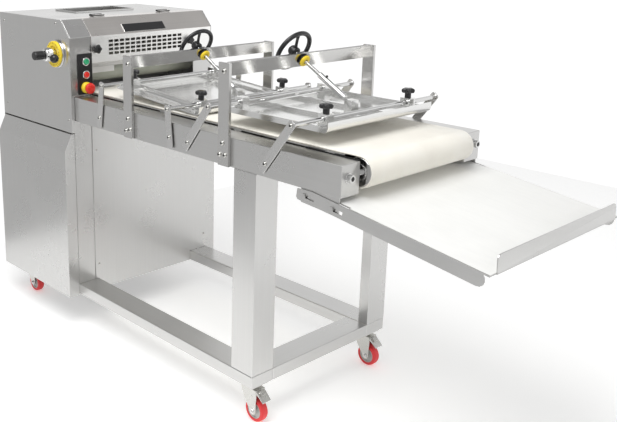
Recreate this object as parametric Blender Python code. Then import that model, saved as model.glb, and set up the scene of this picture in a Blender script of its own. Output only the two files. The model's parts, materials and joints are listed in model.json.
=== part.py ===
# Long-loaf dough sheeter: sheeting head on a cabinet, belt conveyor on a wheeled base,
# and pressure boards hung on swinging links under two bridges.
# Metres, +Z up, floor at Z=0. +X runs from the head to the catch tray, -Y is the operator side.
import math
import bmesh
import bpy
from mathutils import Matrix, Vector

# ---- driving dimensions ----
gap = 0.0004
base_half_width = 0.316
rail_low, rail_high = 0.126, 0.166
rail_width = 0.090
leg_size = 0.090
leg_front = 0.405
leg_lip = 0.038
leg_sheet = 0.004

cabinet_back, cabinet_front = -1.001, -0.515
cover_half_width = 0.360
cover_shoulder, cover_top = 0.683, 0.743
sheet = 0.003

head_half_width = 0.331
head_front, head_top_front, head_seam = -0.508, -0.561, -0.620
head_low, head_brow, head_top = 0.748, 1.087, 1.146
guard_low = 0.991
guard_left, guard_right = -0.240, 0.327
hopper = (-0.905, -0.765, -0.132, 0.134)

frame_width = 0.073
frame_low, frame_high = 0.790, 0.877
frame_back, frame_front = -0.660, 0.705
belt_half_width = 0.2335
belt_thick = 0.004
drum_radius = 0.0398
drum_height = 0.844
drum_front_x, drum_rear_x = 0.694, -0.590

post_width, post_thick = 0.044, 0.011
bridge_x = (-0.178, 0.2795)
bridge_top = (1.059, 1.090)
bush_at = ((-0.170, 1.0345), (0.2875, 1.0655))
screw_tilt = (32.07, 29.34)
block_at = ((0.000, 0.928), (0.4725, 0.9615))
wheel_radius, wheel_rim = 0.063, 0.0075

link_half_span = 0.321
arm_width, arm_thick = 0.026, 0.005
bar_width, cross_width = 0.012, 0.028
rod_radius = 0.007
pivot_height = 0.830
link_a = (-0.3465, 0.0155, 0.112)
link_b = (0.0300, -0.009, 0.087)
link_c = (0.1170, 0.0921, 0.1222)
link_d = (0.4440, 0.0921, 0.1222)

tray_back, tray_front = 0.640, 1.132
tray_height = 0.7853
tray_drop = 8.0
tray_half_width = 0.3166
lip_half, lip_high, lip_round, lip_lean = 0.2915, 0.042, 0.012, -0.20
bolt_along, bolt_drop = (-0.052, 0.044), -0.0205
caster_radius = 0.0375
caster_trail = 0.024

stainless = (0.62, 0.62, 0.61)
pale_steel = (0.78, 0.78, 0.77)


def clear_scene():
    for old in list(bpy.data.objects):
        bpy.data.objects.remove(old, do_unlink=True)
    for old in list(bpy.data.meshes):
        bpy.data.meshes.remove(old)


def paint(name, colour, metal, rough):
    mat = bpy.data.materials.new(name)
    mat.use_nodes = True
    shader = mat.node_tree.nodes["Principled BSDF"]
    shader.inputs["Base Color"].default_value = (*colour, 1.0)
    shader.inputs["Metallic"].default_value = metal
    shader.inputs["Roughness"].default_value = rough
    mat.diffuse_color = (*colour, 1.0)
    return mat


def finish(name, bm, colour, metal=0.9, rough=0.35, smooth=False):
    bmesh.ops.recalc_face_normals(bm, faces=bm.faces)
    mesh = bpy.data.meshes.new(name)
    bm.to_mesh(mesh)
    bm.free()
    obj = bpy.data.objects.new(name, mesh)
    bpy.context.scene.collection.objects.link(obj)
    mesh.materials.append(paint(name, colour, metal, rough))
    if smooth:
        mesh.shade_smooth()
    return obj


def block(x0, x1, y0, y1, z0, z1, round_off=0.0):
    bm = bmesh.new()
    bmesh.ops.create_cube(bm, size=1.0)
    size = Vector((x1 - x0, y1 - y0, z1 - z0))
    mid = Vector(((x0 + x1) / 2, (y0 + y1) / 2, (z0 + z1) / 2))
    bmesh.ops.scale(bm, vec=size, verts=bm.verts)
    bmesh.ops.translate(bm, vec=mid, verts=bm.verts)
    if round_off > 0:
        bmesh.ops.bevel(bm, geom=list(bm.edges), offset=round_off, segments=1, affect="EDGES")
    return bm


def prism(outline, axis, low, high):
    """A flat outline pushed along an axis: 'y' takes (x, z) points, 'x' (y, z), 'z' (x, y)."""
    bm = bmesh.new()
    place = {
        "y": lambda p, t: (p[0], t, p[1]),
        "x": lambda p, t: (t, p[0], p[1]),
        "z": lambda p, t: (p[0], p[1], t),
    }[axis]
    near = [bm.verts.new(place(p, low)) for p in outline]
    far = [bm.verts.new(place(p, high)) for p in outline]
    count = len(outline)
    bm.faces.new(near)
    bm.faces.new(list(reversed(far)))
    for i in range(count):
        j = (i + 1) % count
        bm.faces.new((near[i], far[i], far[j], near[j]))
    bmesh.ops.recalc_face_normals(bm, faces=bm.faces)
    return bm


def turned(profile, start, direction, sides=24):
    """A solid of revolution: profile is (distance along, radius) from start along direction."""
    bm = bmesh.new()
    d = Vector(direction).normalized()
    side = Vector((0, 1, 0)) if abs(d.y) < 0.9 else Vector((1, 0, 0))
    u = (side - d * side.dot(d)).normalized()
    v = d.cross(u)
    rings = []
    for along, radius in profile:
        mid = Vector(start) + d * along
        ring = []
        for k in range(sides):
            a = 2 * math.pi * k / sides
            ring.append(bm.verts.new(mid + u * (radius * math.cos(a)) + v * (radius * math.sin(a))))
        rings.append(ring)
    for first, second in zip(rings, rings[1:]):
        for k in range(sides):
            j = (k + 1) % sides
            bm.faces.new((first[k], first[j], second[j], second[k]))
    bm.faces.new(list(reversed(rings[0])))
    bm.faces.new(rings[-1])
    bmesh.ops.recalc_face_normals(bm, faces=bm.faces)
    return bm


def rod(start, end, radius, sides=20):
    length = (Vector(end) - Vector(start)).length
    return turned([(0, radius), (length, radius)], start, Vector(end) - Vector(start), sides)


def scratch(bm, label):
    bmesh.ops.recalc_face_normals(bm, faces=bm.faces)
    mesh = bpy.data.meshes.new(label)
    bm.to_mesh(mesh)
    bm.free()
    obj = bpy.data.objects.new(label, mesh)
    bpy.context.scene.collection.objects.link(obj)
    return obj


def combine(first, others, how):
    """Exact boolean of bmeshes, one after another; the result is a bmesh."""
    body = scratch(first, "body")
    for item in others:
        tool = scratch(item, "tool")
        mod = body.modifiers.new("cut", "BOOLEAN")
        mod.operation = how
        mod.solver = "EXACT"
        mod.object = tool
        bpy.context.view_layer.update()
        graph = bpy.context.evaluated_depsgraph_get()
        mesh = bpy.data.meshes.new_from_object(body.evaluated_get(graph))
        body.modifiers.clear()
        body.data = mesh
        bpy.data.objects.remove(tool, do_unlink=True)
    bm = bmesh.new()
    bm.from_mesh(body.data)
    bpy.data.objects.remove(body, do_unlink=True)
    bmesh.ops.remove_doubles(bm, verts=bm.verts, dist=0.00002)
    bmesh.ops.dissolve_limit(bm, angle_limit=0.002, verts=bm.verts, edges=bm.edges)
    bmesh.ops.triangulate(bm, faces=[f for f in bm.faces if len(f.verts) > 4])
    return bm


def join(first, *others):
    return combine(first, others, "UNION")


def cut(first, *others):
    return combine(first, others, "DIFFERENCE")


def turn_about_y(bm, degrees, pivot):
    bmesh.ops.rotate(bm, verts=bm.verts, cent=pivot, matrix=Matrix.Rotation(math.radians(degrees), 3, "Y"))
    return bm


def axis_origin(obj, point):
    shift = Vector(point)
    obj.data.transform(Matrix.Translation(-shift))
    obj.location = shift


# ---- base ----
def build_rails():
    half, w = base_half_width, rail_width
    for name, y0, y1 in (("rail_near", -half, -half + w), ("rail_far", half - w, half)):
        finish(name, block(cabinet_back + 0.006, leg_front, y0, y1, rail_low, rail_high, 0.002), stainless)
    inner = half - w - gap
    finish("rail_front", block(leg_front - w, leg_front, -inner, inner, rail_low, rail_high, 0.002), stainless)
    back = cabinet_back + 0.006
    finish("rail_rear", block(back, back + w, -inner, inner, rail_low, rail_high, 0.002), stainless)


def build_legs():
    low, high = rail_high + gap, frame_low - gap
    x1, x0 = leg_front, leg_front - leg_size
    t = leg_sheet
    for name, side in (("leg_near", -1), ("leg_far", 1)):
        out = side * base_half_width
        inn = side * (base_half_width - leg_size)
        outline = [
            (x0, out), (x1, out), (x1, inn), (x1 - leg_lip, inn), (x1 - leg_lip, inn + side * t),
            (x1 - t, inn + side * t), (x1 - t, out - side * t), (x0, out - side * t),
        ]
        finish(name, prism(outline, "z", low, high), stainless)


def build_casters():
    spots = (("near_front", 0.360, -0.271), ("far_front", 0.360, 0.271),
             ("near_rear", -0.935, -0.271), ("far_rear", -0.935, 0.271))
    r = caster_radius
    for name, x, y in spots:
        top = rail_low - gap
        wheel_x = x + caster_trail
        plate = block(x - 0.040, x + 0.040, y - 0.036, y + 0.036, top - 0.004, top)
        bearing = turned([(0, 0.022), (0.0125, 0.030)], (x, y, top - 0.016), (0, 0, 1), 20)
        crown = block(x - 0.024, wheel_x + 0.014, y - 0.0195, y + 0.0195, top - 0.021, top - 0.0155)
        cheeks = []
        for s in (-1, 1):
            a, b = sorted((y + s * 0.0165, y + s * 0.0195))
            outline = [(x - 0.024, top - 0.018), (wheel_x + 0.014, top - 0.018), (wheel_x + 0.013, r - 0.010),
                       (wheel_x - 0.013, r - 0.010), (x - 0.018, top - 0.044)]
            cheeks.append(prism(outline, "y", a, b))
        axle = rod((wheel_x, y - 0.021, r), (wheel_x, y + 0.021, r), 0.005, 12)
        parts = [bearing, crown, *cheeks, axle]
        if "front" in name:
            pedal = [(wheel_x + 0.004, top - 0.017), (wheel_x + 0.042, top - 0.044), (wheel_x + 0.042, top - 0.048),
                     (wheel_x + 0.0135, top - 0.033), (wheel_x + 0.004, top - 0.028)]
            parts.append(prism(pedal, "y", y - 0.0185, y + 0.0185))
        fork = finish("caster_fork_" + name, join(plate, *parts), (0.70, 0.70, 0.68), 0.95, 0.25)
        axis_origin(fork, (x, y, top))
        tread = turned([(0, r - 0.004), (0.003, r), (0.023, r), (0.026, r - 0.004)],
                       (wheel_x, y - 0.013, r), (0, 1, 0), 36)
        bore = rod((wheel_x, y - 0.02, r), (wheel_x, y + 0.02, r), 0.0056, 12)
        wheel = finish("caster_wheel_" + name, cut(tread, bore), (0.72, 0.04, 0.05), 0.0, 0.45, True)
        axis_origin(wheel, (wheel_x, y, r))


# ---- cabinet ----
def build_covers():
    s = sheet
    w = cover_half_width
    top_y = head_half_width
    for name, side in (("cabinet_cover_near", -1), ("cabinet_cover_far", 1)):
        outline = [(side * w, rail_low - 0.004), (side * w, cover_shoulder), (side * top_y, cover_top),
                   (side * (top_y - s), cover_top), (side * (w - s), cover_shoulder),
                   (side * (w - s), rail_low - 0.004)]
        skin = prism(outline, "x", cabinet_back + s + gap, cabinet_front)
        lip_in = base_half_width + 0.0008
        lip = [(side * w, rail_low - 0.004), (side * w, cover_shoulder), (side * top_y, cover_top),
               (side * lip_in, cover_top), (side * lip_in, rail_low - 0.004)]
        front = prism(lip, "x", cabinet_front - s, cabinet_front)
        back = prism(lip, "x", cabinet_back + s + gap, cabinet_back + 2 * s + gap)
        finish(name, join(skin, front, back), stainless)


def build_cabinet_panels():
    s = sheet
    low = rail_high + gap
    front = block(cabinet_front - s, cabinet_front, -base_half_width, base_half_width, low, frame_low - gap)
    post = block(cabinet_front - 0.060, cabinet_front - s / 2, -base_half_width,
                 -base_half_width + frame_width, low, frame_low - gap)
    apron = block(cabinet_front + gap, cabinet_front + gap + s, -0.243, base_half_width, low, 0.760)
    skirt_half = base_half_width - rail_width - 2 * gap
    skirt = block(cabinet_front + gap, cabinet_front + gap + s, -skirt_half, skirt_half, rail_low, low + 0.01)
    apron = join(apron, skirt)
    bridge = block(cabinet_front - s, cabinet_front + s, -0.20, 0.20, 0.25, 0.70)
    finish("cabinet_front_panel", join(front, post, apron, bridge), pale_steel)
    back = block(cabinet_back, cabinet_back + s, -cover_half_width, cover_half_width, rail_low - 0.004,
                 cover_shoulder)
    upper = block(cabinet_back, cabinet_back + s, -head_half_width, head_half_width, cover_shoulder - 0.001,
                  head_top)
    finish("back_panel", join(back, upper), stainless)


# ---- head ----
def head_outline():
    return [(cabinet_back + sheet + gap, head_low), (head_front, head_low), (head_front, head_brow),
            (head_top_front, head_top), (cabinet_back + sheet + gap, head_top)]


def build_head_sides():
    for name, side in (("head_side_near", -1), ("head_side_far", 1)):
        a, b = sorted((side * head_half_width, side * (head_half_width - sheet)))
        plate = prism(head_outline(), "y", a, b)
        wall = side * (head_half_width - sheet)
        for x, z in (roller_rear_at, roller_front_at):
            plate = join(plate, bearing_block(x, z, wall, side))
        lip_y = sorted((side * (base_half_width + 0.0008), wall + side * 0.001))
        plate = join(plate, block(head_front - sheet, head_front, *lip_y, head_low, frame_high))
        if side > 0:
            tail = block(head_front - sheet, head_front, 0.2365, wall + 0.001, frame_high + gap, guard_low - gap)
            strip = block(head_front - sheet, head_front, guard_right + gap, wall + 0.001, guard_low - 0.001,
                          head_brow)
            plate = join(plate, tail, strip)
        finish(name, plate, stainless)


roller_rear_at = (-0.705, 0.968)
roller_front_at = (-0.618, 0.945)
roller_radius = 0.0375
cheek_inner, cheek_outer = 0.098, 0.232


def bearing_block(x, z, wall, side):
    outer = block(x - 0.030, x + 0.030, *sorted((wall - side * 0.030, wall + side * 0.001)), z - 0.028, z + 0.028)
    pocket = block(x - 0.0175, x + 0.0125, *sorted((wall - side * 0.040, wall - side * 0.005)),
                   z - 0.0125, z + 0.0125)
    return cut(outer, pocket)


def build_head_top():
    s = sheet
    rear = block(cabinet_back + s + gap, head_seam - gap, -head_half_width + s + gap,
                 head_half_width - s - gap, head_top - s, head_top)
    x0, x1, y0, y1 = hopper
    rim = block(x0 - 0.004, x1 + 0.004, y0 - 0.004, y1 + 0.004, head_top - 0.070, head_top + 0.006)
    throat = block(x0, x1, y0, y1, head_top - 0.10, head_top + 0.02)
    finish("head_top", cut(join(rear, rim), throat), pale_steel)


def shell_strip(points, thickness):
    """Outline of a bent sheet: points run outside, the inside is offset by thickness."""
    inner = []
    count = len(points)
    for i, p in enumerate(points):
        before = Vector(points[i]) - Vector(points[i - 1]) if i > 0 else None
        after = Vector(points[i + 1]) - Vector(points[i]) if i < count - 1 else None
        normals = []
        for d in (before, after):
            if d is not None:
                d = d.normalized()
                normals.append(Vector((d.y, -d.x)))
        n = sum(normals, Vector((0, 0))).normalized()
        k = thickness / max(0.3, n.dot(normals[0]))
        inner.append((p[0] + n.x * k, p[1] + n.y * k))
    return list(points) + list(reversed(inner))


def build_column():
    s = sheet
    path = [(head_seam, head_top), (head_top_front, head_top), (head_front, head_brow),
            (head_front, frame_high + gap)]
    skin = prism(shell_strip(path, s), "y", -head_half_width + s + gap, guard_left - gap)
    finish("head_column", skin, pale_steel)


def build_guard():
    s = sheet
    path = [(head_seam, head_top), (head_top_front, head_top), (head_front, head_brow),
            (head_front, guard_low)]
    skin = prism(shell_strip(path, s), "y", guard_left, guard_right)
    slots = []
    for col in range(14):
        for row in range(4):
            y = -0.155 + col * 0.0248
            z = 1.021 + row * 0.0147
            slots.append((y, z))
    tool = bmesh.new()
    for y, z in slots:
        piece = block(head_front - 0.02, head_front + 0.01, y - 0.0094, y + 0.0094, z - 0.0045, z + 0.0045)
        mesh = bpy.data.meshes.new("slot")
        piece.to_mesh(mesh)
        piece.free()
        tool.from_mesh(mesh)
        bpy.data.meshes.remove(mesh)
    skin = cut(skin, tool)
    hinge_pads = []
    for y in (-0.146, 0.164):
        hinge_pads.append(block(head_seam + 0.002, head_seam + 0.026, y - 0.022, y + 0.022,
                                head_top - 0.001, head_top + 0.007))
    guard = finish("front_guard", join(skin, *hinge_pads), pale_steel)
    axis_origin(guard, (head_seam, 0, head_top + 0.003))


def star_knob(name, at, direction, radius=0.022, height=0.014, stem=0.014, neck_radius=0.0095):
    """Five-lobed clamping knob on a round neck."""
    d = Vector(direction).normalized()
    side = Vector((0, 1, 0)) if abs(d.y) < 0.9 else Vector((1, 0, 0))
    u = (side - d * side.dot(d)).normalized()
    v = d.cross(u)
    bm = bmesh.new()
    rings = []
    for along, scale in ((stem, 0.82), (stem + 0.003, 1.0), (stem + height - 0.003, 1.0),
                         (stem + height, 0.8)):
        ring = []
        for k in range(30):
            a = 2 * math.pi * k / 30
            r = radius * scale * (0.84 + 0.16 * math.cos(5 * a))
            ring.append(bm.verts.new(Vector(at) + d * along + u * (r * math.cos(a)) + v * (r * math.sin(a))))
        rings.append(ring)
    for first, second in zip(rings, rings[1:]):
        for k in range(30):
            j = (k + 1) % 30
            bm.faces.new((first[k], first[j], second[j], second[k]))
    bm.faces.new(list(reversed(rings[0])))
    bm.faces.new(rings[-1])
    neck = turned([(0, neck_radius), (stem + 0.004, neck_radius)], at, direction, 16)
    obj = finish(name, join(bm, neck), (0.02, 0.02, 0.022), 0.0, 0.4)
    axis_origin(obj, at)


def build_controls():
    face = head_front + gap
    plate = block(face, face + 0.003, -0.301, -0.2405, 0.884, 1.029, 0.0008)
    y = -0.2690
    for z, r, deep in ((1.001, 0.0150, 0.007), (0.9545, 0.0150, 0.007), (0.908, 0.0200, 0.016)):
        plate = join(plate, turned([(0, r), (deep - 0.002, r), (deep, r - 0.002)], (face + 0.002, y, z),
                                   (1, 0, 0), 28))
    for z, r, deep in ((1.001, 0.0104, 0.02), (0.9545, 0.0104, 0.02), (0.908, 0.0084, 0.03)):
        plate = cut(plate, rod((face + 0.0036, y, z), (face + deep, y, z), r, 28))
    finish("control_plate", plate, (0.015, 0.015, 0.016), 0.0, 0.35)
    for name, z, colour in (("button_start", 1.001, (0.05, 0.35, 0.16)), ("button_stop", 0.9545, (0.75, 0.05, 0.05))):
        cap = turned([(0, 0.0100), (0.0055, 0.0100), (0.007, 0.0085)], (face + 0.0066, y, z), (1, 0, 0), 24)
        obj = finish(name, cap, colour, 0.0, 0.35, True)
        axis_origin(obj, (face + 0.0066, y, z))
    profile = [(0, 0.008), (0.0170, 0.008), (0.0172, 0.0185), (0.0215, 0.0200), (0.0265, 0.0190),
               (0.0300, 0.0140), (0.0310, 0.006)]
    head = turned(profile, (face + 0.0080, y, 0.908), (1, 0, 0), 28)
    obj = finish("stop_mushroom", head, (0.75, 0.03, 0.03), 0.0, 0.35, True)
    axis_origin(obj, (face + 0.0080, y, 0.908))


dial_at = (-0.5895, 1.0250)


def build_dial():
    x, z = dial_at
    wall = -head_half_width - gap
    profile = [(0, 0.051), (0.007, 0.051), (0.010, 0.047), (0.016, 0.046), (0.018, 0.043)]
    ring = turned(profile, (x, wall, z), (0, -1, 0), 40)
    socket = rod((x, wall - 0.010, z), (x, wall - 0.040, z), 0.0185, 28)
    finish("gap_dial", cut(ring, socket), (0.85, 0.66, 0.05), 0.0, 0.4)
    profile = [(0, 0.018), (0.010, 0.018), (0.0102, 0.025), (0.040, 0.025), (0.044, 0.021),
               (0.0442, 0.0135), (0.050, 0.0155), (0.082, 0.0155), (0.085, 0.013)]
    hub = turned(profile, (x, wall - 0.0105, z), (0, -1, 0), 32)
    arm = rod((x, wall - 0.036, z), (x + 0.046, wall - 0.036, z - 0.006), 0.0055, 14)
    ball = bmesh.new()
    bmesh.ops.create_uvsphere(ball, u_segments=20, v_segments=12, radius=0.0155)
    bmesh.ops.translate(ball, vec=(x + 0.056, wall - 0.036, z - 0.007), verts=ball.verts)
    lever = finish("gap_lever", join(hub, arm, ball), (0.55, 0.55, 0.55), 0.6, 0.35, False)
    axis_origin(lever, (x, wall, z))


def build_rollers():
    half = head_half_width - sheet - 0.034
    for name, (x, z), reach in (("roller_rear", roller_rear_at, 0.020), ("roller_front", roller_front_at, 0.020)):
        profile = [(0, 0.0105), (0.026, 0.0105), (0.0261, roller_radius), (0.026 + 2 * half, roller_radius),
                   (0.0261 + 2 * half, 0.0105), (0.052 + 2 * half, 0.0105)]
        shaft = turned(profile, (x, -half - 0.026, z), (0, 1, 0), 32)
        obj = finish(name, shaft, (0.50, 0.51, 0.46), 0.3, 0.45, True)
        axis_origin(obj, (x, 0, z))
    x, z = roller_front_at
    x0, x1 = x + roller_radius + 0.0015, x + roller_radius + 0.0090
    bar = block(x0, x1, -half + 0.006, half - 0.006, z + 0.0205, guard_low - 0.0015)
    cheeks = []
    for side in (-1, 1):
        cheeks.append(block(x0 + 0.0002, x1 + 0.0015, *sorted((side * cheek_inner, side * cheek_outer)), z - 0.001,
                            z + 0.022, 0.001))
    finish("scraper", join(bar, *cheeks), (0.88, 0.88, 0.86), 0.0, 0.4)


# ---- conveyor ----
def build_conveyor():
    half = base_half_width
    for name, side in (("conveyor_side_near", -1), ("conveyor_side_far", 1)):
        a, b = sorted((side * half, side * (half - frame_width)))
        beam = block(frame_back, frame_front, a, b, frame_low, frame_high, 0.0015)
        bores = []
        inner = side * (half - frame_width)
        for x in (drum_front_x, drum_rear_x):
            bores.append(rod((x, inner - side * 0.01, drum_height), (x, inner + side * 0.026, drum_height), 0.011, 24))
        beam = cut(beam, *bores)
        bolt = turned([(0, 0.0140), (0.0025, 0.0140), (0.0026, 0.0110), (0.0130, 0.0110), (0.0140, 0.0100)],
                      (frame_front - 0.0005, side * (half - 0.028), 0.8405), (1, 0, 0), 20)
        outline = [(0.572, frame_low + 0.001), (0.572, 0.7520), (0.640, 0.7460), (0.700, 0.7460),
                   (0.700, frame_low + 0.001)]
        ear = prism(outline, "y", *sorted((side * (half - 0.0050), side * (half - 0.0008))))
        pins = []
        for at in bolt_along:
            down = math.radians(tray_drop)
            px = tray_back + at * math.cos(down) + bolt_drop * math.sin(down)
            pz = tray_height - at * math.sin(down) + bolt_drop * math.cos(down)
            pins.append(rod((px, side * (half - 0.003), pz), (px, side * (half + 0.0036), pz), 0.004, 12))
            pins.append(rod((px, side * (half + 0.0035), pz), (px, side * (half + 0.0075), pz), 0.0075, 6))
        ear = join(ear, *pins)
        finish(name, join(beam, bolt, ear), stainless)
    bed = block(drum_rear_x + 0.045, drum_front_x - 0.045, -0.2380, 0.2355, 0.8795, 0.8830)
    legs = []
    for x in (-0.45, -0.10, 0.25, 0.60):
        legs.append(block(x - 0.015, x + 0.015, -half + frame_width + gap, half - frame_width - gap,
                          0.8300, 0.8800))
    finish("belt_bed", join(bed, *legs), stainless)


def belt_outline(radius, sides=14):
    points = []
    for k in range(sides + 1):
        a = math.pi / 2 - math.pi * k / sides
        points.append((drum_front_x + radius * math.cos(a), drum_height + radius * math.sin(a)))
    for k in range(sides + 1):
        a = -math.pi / 2 - math.pi * k / sides
        points.append((drum_rear_x + radius * math.cos(a), drum_height + radius * math.sin(a)))
    return points


def build_belt():
    outer = prism(belt_outline(drum_radius + belt_thick), "y", -belt_half_width, belt_half_width)
    inner = prism(belt_outline(drum_radius), "y", -belt_half_width - 0.01, belt_half_width + 0.01)
    finish("belt", cut(outer, inner), (0.80, 0.74, 0.66), 0.0, 0.9)
    reach = base_half_width - frame_width
    for name, x in (("drum_front", drum_front_x), ("drum_rear", drum_rear_x)):
        r = (drum_radius - 0.0003) * math.cos(math.pi / 28)
        profile = [(0, 0.0100), (0.032, 0.0100), (0.0322, r - 0.002), (0.034, r), (2 * reach + 0.008, r),
                   (2 * reach + 0.0098, r - 0.002), (2 * reach + 0.010, 0.0100), (2 * reach + 0.042, 0.0100)]
        start = -reach - 0.021
        obj = finish(name, turned(profile, (x, start, drum_height), (0, 1, 0), 36), (0.6, 0.6, 0.6), 0.95, 0.25, True)
        axis_origin(obj, (x, 0, drum_height))


# ---- bridges, screws and handwheels ----
def build_bridge(number):
    x = bridge_x[number]
    top = bridge_top[number]
    half = base_half_width + gap
    posts = []
    for side in (-1, 1):
        a, b = sorted((side * half, side * (half + post_thick)))
        posts.append(block(x - post_width / 2, x + post_width / 2, a, b, frame_low + 0.001, top, 0.0008))
    tilt = math.radians(screw_tilt[number])
    ax = Vector((math.cos(tilt), 0, -math.sin(tilt)))
    up = Vector((math.sin(tilt), 0, math.cos(tilt)))
    bx, bz = bush_at[number]
    mid = Vector((bx, 0, bz)) - ax * 0.0135
    reach = half + 0.001
    face = []
    for along, high in ((-0.003, -0.0285), (0.003, -0.0285), (0.003, 0.0205), (-0.003, 0.0205)):
        p = mid + ax * along + up * high
        face.append((p.x, p.z))
    web = prism(face, "y", -reach, reach)
    lip = mid + up * 0.0205
    flange = block(lip.x - 0.012, lip.x - 0.001, -reach, reach, lip.z - 0.006, lip.z - 0.001)
    hole = rod(mid - ax * 0.03, mid + ax * 0.03, 0.013, 24)
    boss = turned([(0, 0.021), (0.010, 0.021)], mid - ax * 0.009, ax, 24)
    body = join(posts[0], posts[1], web, flange, boss)
    return finish("bridge_%d" % (number + 1), cut(body, hole), stainless)


def build_screw(number):
    tilt = math.radians(screw_tilt[number])
    ax = Vector((math.cos(tilt), 0, -math.sin(tilt)))
    bx, bz = bush_at[number]
    centre = Vector((bx, 0, bz))
    shell = turned([(0, 0.017), (0.002, 0.0195), (0.010, 0.0195), (0.014, 0.015)], centre - ax * 0.0085, ax, 28)
    through = rod(centre - ax * 0.05, centre + ax * 0.05, 0.0072, 24)
    bush = finish("screw_bush_%d" % (number + 1), cut(shell, through), (0.88, 0.70, 0.05), 0.0, 0.4, False)
    axis_origin(bush, centre)
    px, pz = block_at[number]
    run = (Vector((px, 0, pz)) - centre).length - 0.0265
    back = 0.062
    profile = [(0, 0.0060), (back + run * 0.38, 0.0060), (back + run * 0.38 + 0.0002, 0.0095),
               (back + run, 0.0095)]
    spindle = finish("screw_spindle_%d" % (number + 1), turned(profile, centre - ax * back, ax, 24),
                     (0.65, 0.65, 0.64), 0.95, 0.25, True)
    axis_origin(spindle, centre)
    build_handwheel(number, centre - ax * 0.055, ax)


def build_handwheel(number, centre, ax):
    u = Vector((0, 1, 0))
    v = ax.cross(u)
    bm = bmesh.new()
    rings = []
    for k in range(40):
        a = 2 * math.pi * k / 40
        out = u * math.cos(a) + v * math.sin(a)
        ring = []
        for j in range(10):
            b = 2 * math.pi * j / 10
            ring.append(bm.verts.new(centre + out * (wheel_radius + wheel_rim * math.cos(b))
                                     + ax * (wheel_rim * math.sin(b))))
        rings.append(ring)
    for k in range(40):
        first, second = rings[k], rings[(k + 1) % 40]
        for j in range(10):
            n = (j + 1) % 10
            bm.faces.new((first[j], second[j], second[n], first[n]))
    hub = turned([(0, 0.012), (0.006, 0.016), (0.024, 0.017), (0.028, 0.014)], centre - ax * 0.012, ax, 24)
    spokes = []
    for k in range(3):
        a = math.radians(100 + 120 * k)
        out = u * math.cos(a) + v * math.sin(a)
        spokes.append(rod(centre + ax * 0.006 + out * 0.008, centre + out * wheel_radius, 0.0052, 10))
    bore = rod(centre - ax * 0.0076, centre + ax * 0.05, 0.0066, 24)
    wheel = finish("handwheel_%d" % (number + 1), cut(join(bm, hub, *spokes), bore), (0.02, 0.02, 0.022), 0.0, 0.35)
    axis_origin(wheel, centre)


# ---- links and boards ----
def build_link(name, spec):
    x, dx, dz = spec
    z = pivot_height
    length = math.hypot(dx, dz)
    ux, uz = dx / length, dz / length
    nx, nz = uz, -ux
    w = arm_width / 2
    parts = []
    for side in (-1, 1):
        outline = []
        for k in range(9):
            a = math.pi * k / 8
            along = length + w * math.sin(a)
            across = w * math.cos(a)
            outline.append((x + ux * along + nx * across, z + uz * along + nz * across))
        foot = -0.034 if name in ("link_a", "link_b") else -0.026
        outline.append((x + ux * foot - nx * w, z + uz * foot - nz * w))
        outline.append((x + ux * foot + nx * w, z + uz * foot + nz * w))
        a, b = sorted((side * (link_half_span - arm_thick / 2 + 0.0004), side * (link_half_span + arm_thick / 2)))
        parts.append(prism(outline, "y", a, b))
        c, d = side * (link_half_span), side * (link_half_span + arm_thick / 2 + 0.004)
        parts.append(rod((x, c, z), (x, d, z), 0.0065, 6))
        parts.append(rod((x + dx, c, z + dz), (x + dx, d, z + dz), 0.0065, 6))
    bar = rod((x + dx, -link_half_span, z + dz), (x + dx, link_half_span, z + dz), rod_radius, 20)
    obj = finish(name, join(bar, *parts), stainless)
    axis_origin(obj, (x, 0, z))


def board_body(x0, x1, z_low, lugs, block_spot, bar_y, wall_high):
    """Sheet board with a curled nose, side walls, raised bars along and across, and lugs on the link rods."""
    half = 0.2350
    t = 0.0030
    path = [(x0, z_low + 0.018), (x0, z_low), (x1 - 0.016, z_low)]
    for k in range(1, 7):
        a = math.radians(90 - 15 * k)
        path.append((x1 - 0.016 + 0.016 * math.cos(a), z_low + 0.016 - 0.016 * math.sin(a)))
    path.append((x1, z_low + 0.030))
    skin = prism(shell_strip(list(reversed(path)), t), "y", -half, half)
    rim_z0, rim_z1 = z_low + t - 0.0005, z_low + 0.014
    x_end = x1 - 0.022
    bars = []
    for side in (-1, 1):
        bars.append(block(x0 + 0.002, x_end, *sorted((side * half, side * (half - 0.004))), rim_z0 - 0.001,
                          z_low + wall_high))
        y = side * bar_y
        bars.append(block(x0 + 0.002, x_end, y - bar_width / 2, y + bar_width / 2, rim_z0, rim_z1 - 0.001))
    for at in (x0 + 0.002, x_end - cross_width):
        bars.append(block(at, at + cross_width, -half + 0.003, half - 0.003, rim_z0, rim_z1))
    body = join(skin, *bars)
    for lx, lz in lugs:
        for y in (-0.185, 0.185):
            body = join(body, block(lx - 0.017, lx + 0.017, y - 0.014, y + 0.014, z_low + 0.001, lz + 0.0145))
        body = cut(body, rod((lx, -half - 0.01, lz), (lx, half + 0.01, lz), rod_radius + 0.0012, 20))
    bx, bz = block_spot
    low = z_low + 0.001
    body = join(body, block(bx - 0.014, bx + 0.014, -0.017, 0.017, low, bz + 0.012, 0.001))
    foot = block(bx - 0.045, bx + 0.045, -0.030, 0.030, low, z_low + 0.010)
    return join(body, foot)


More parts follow.
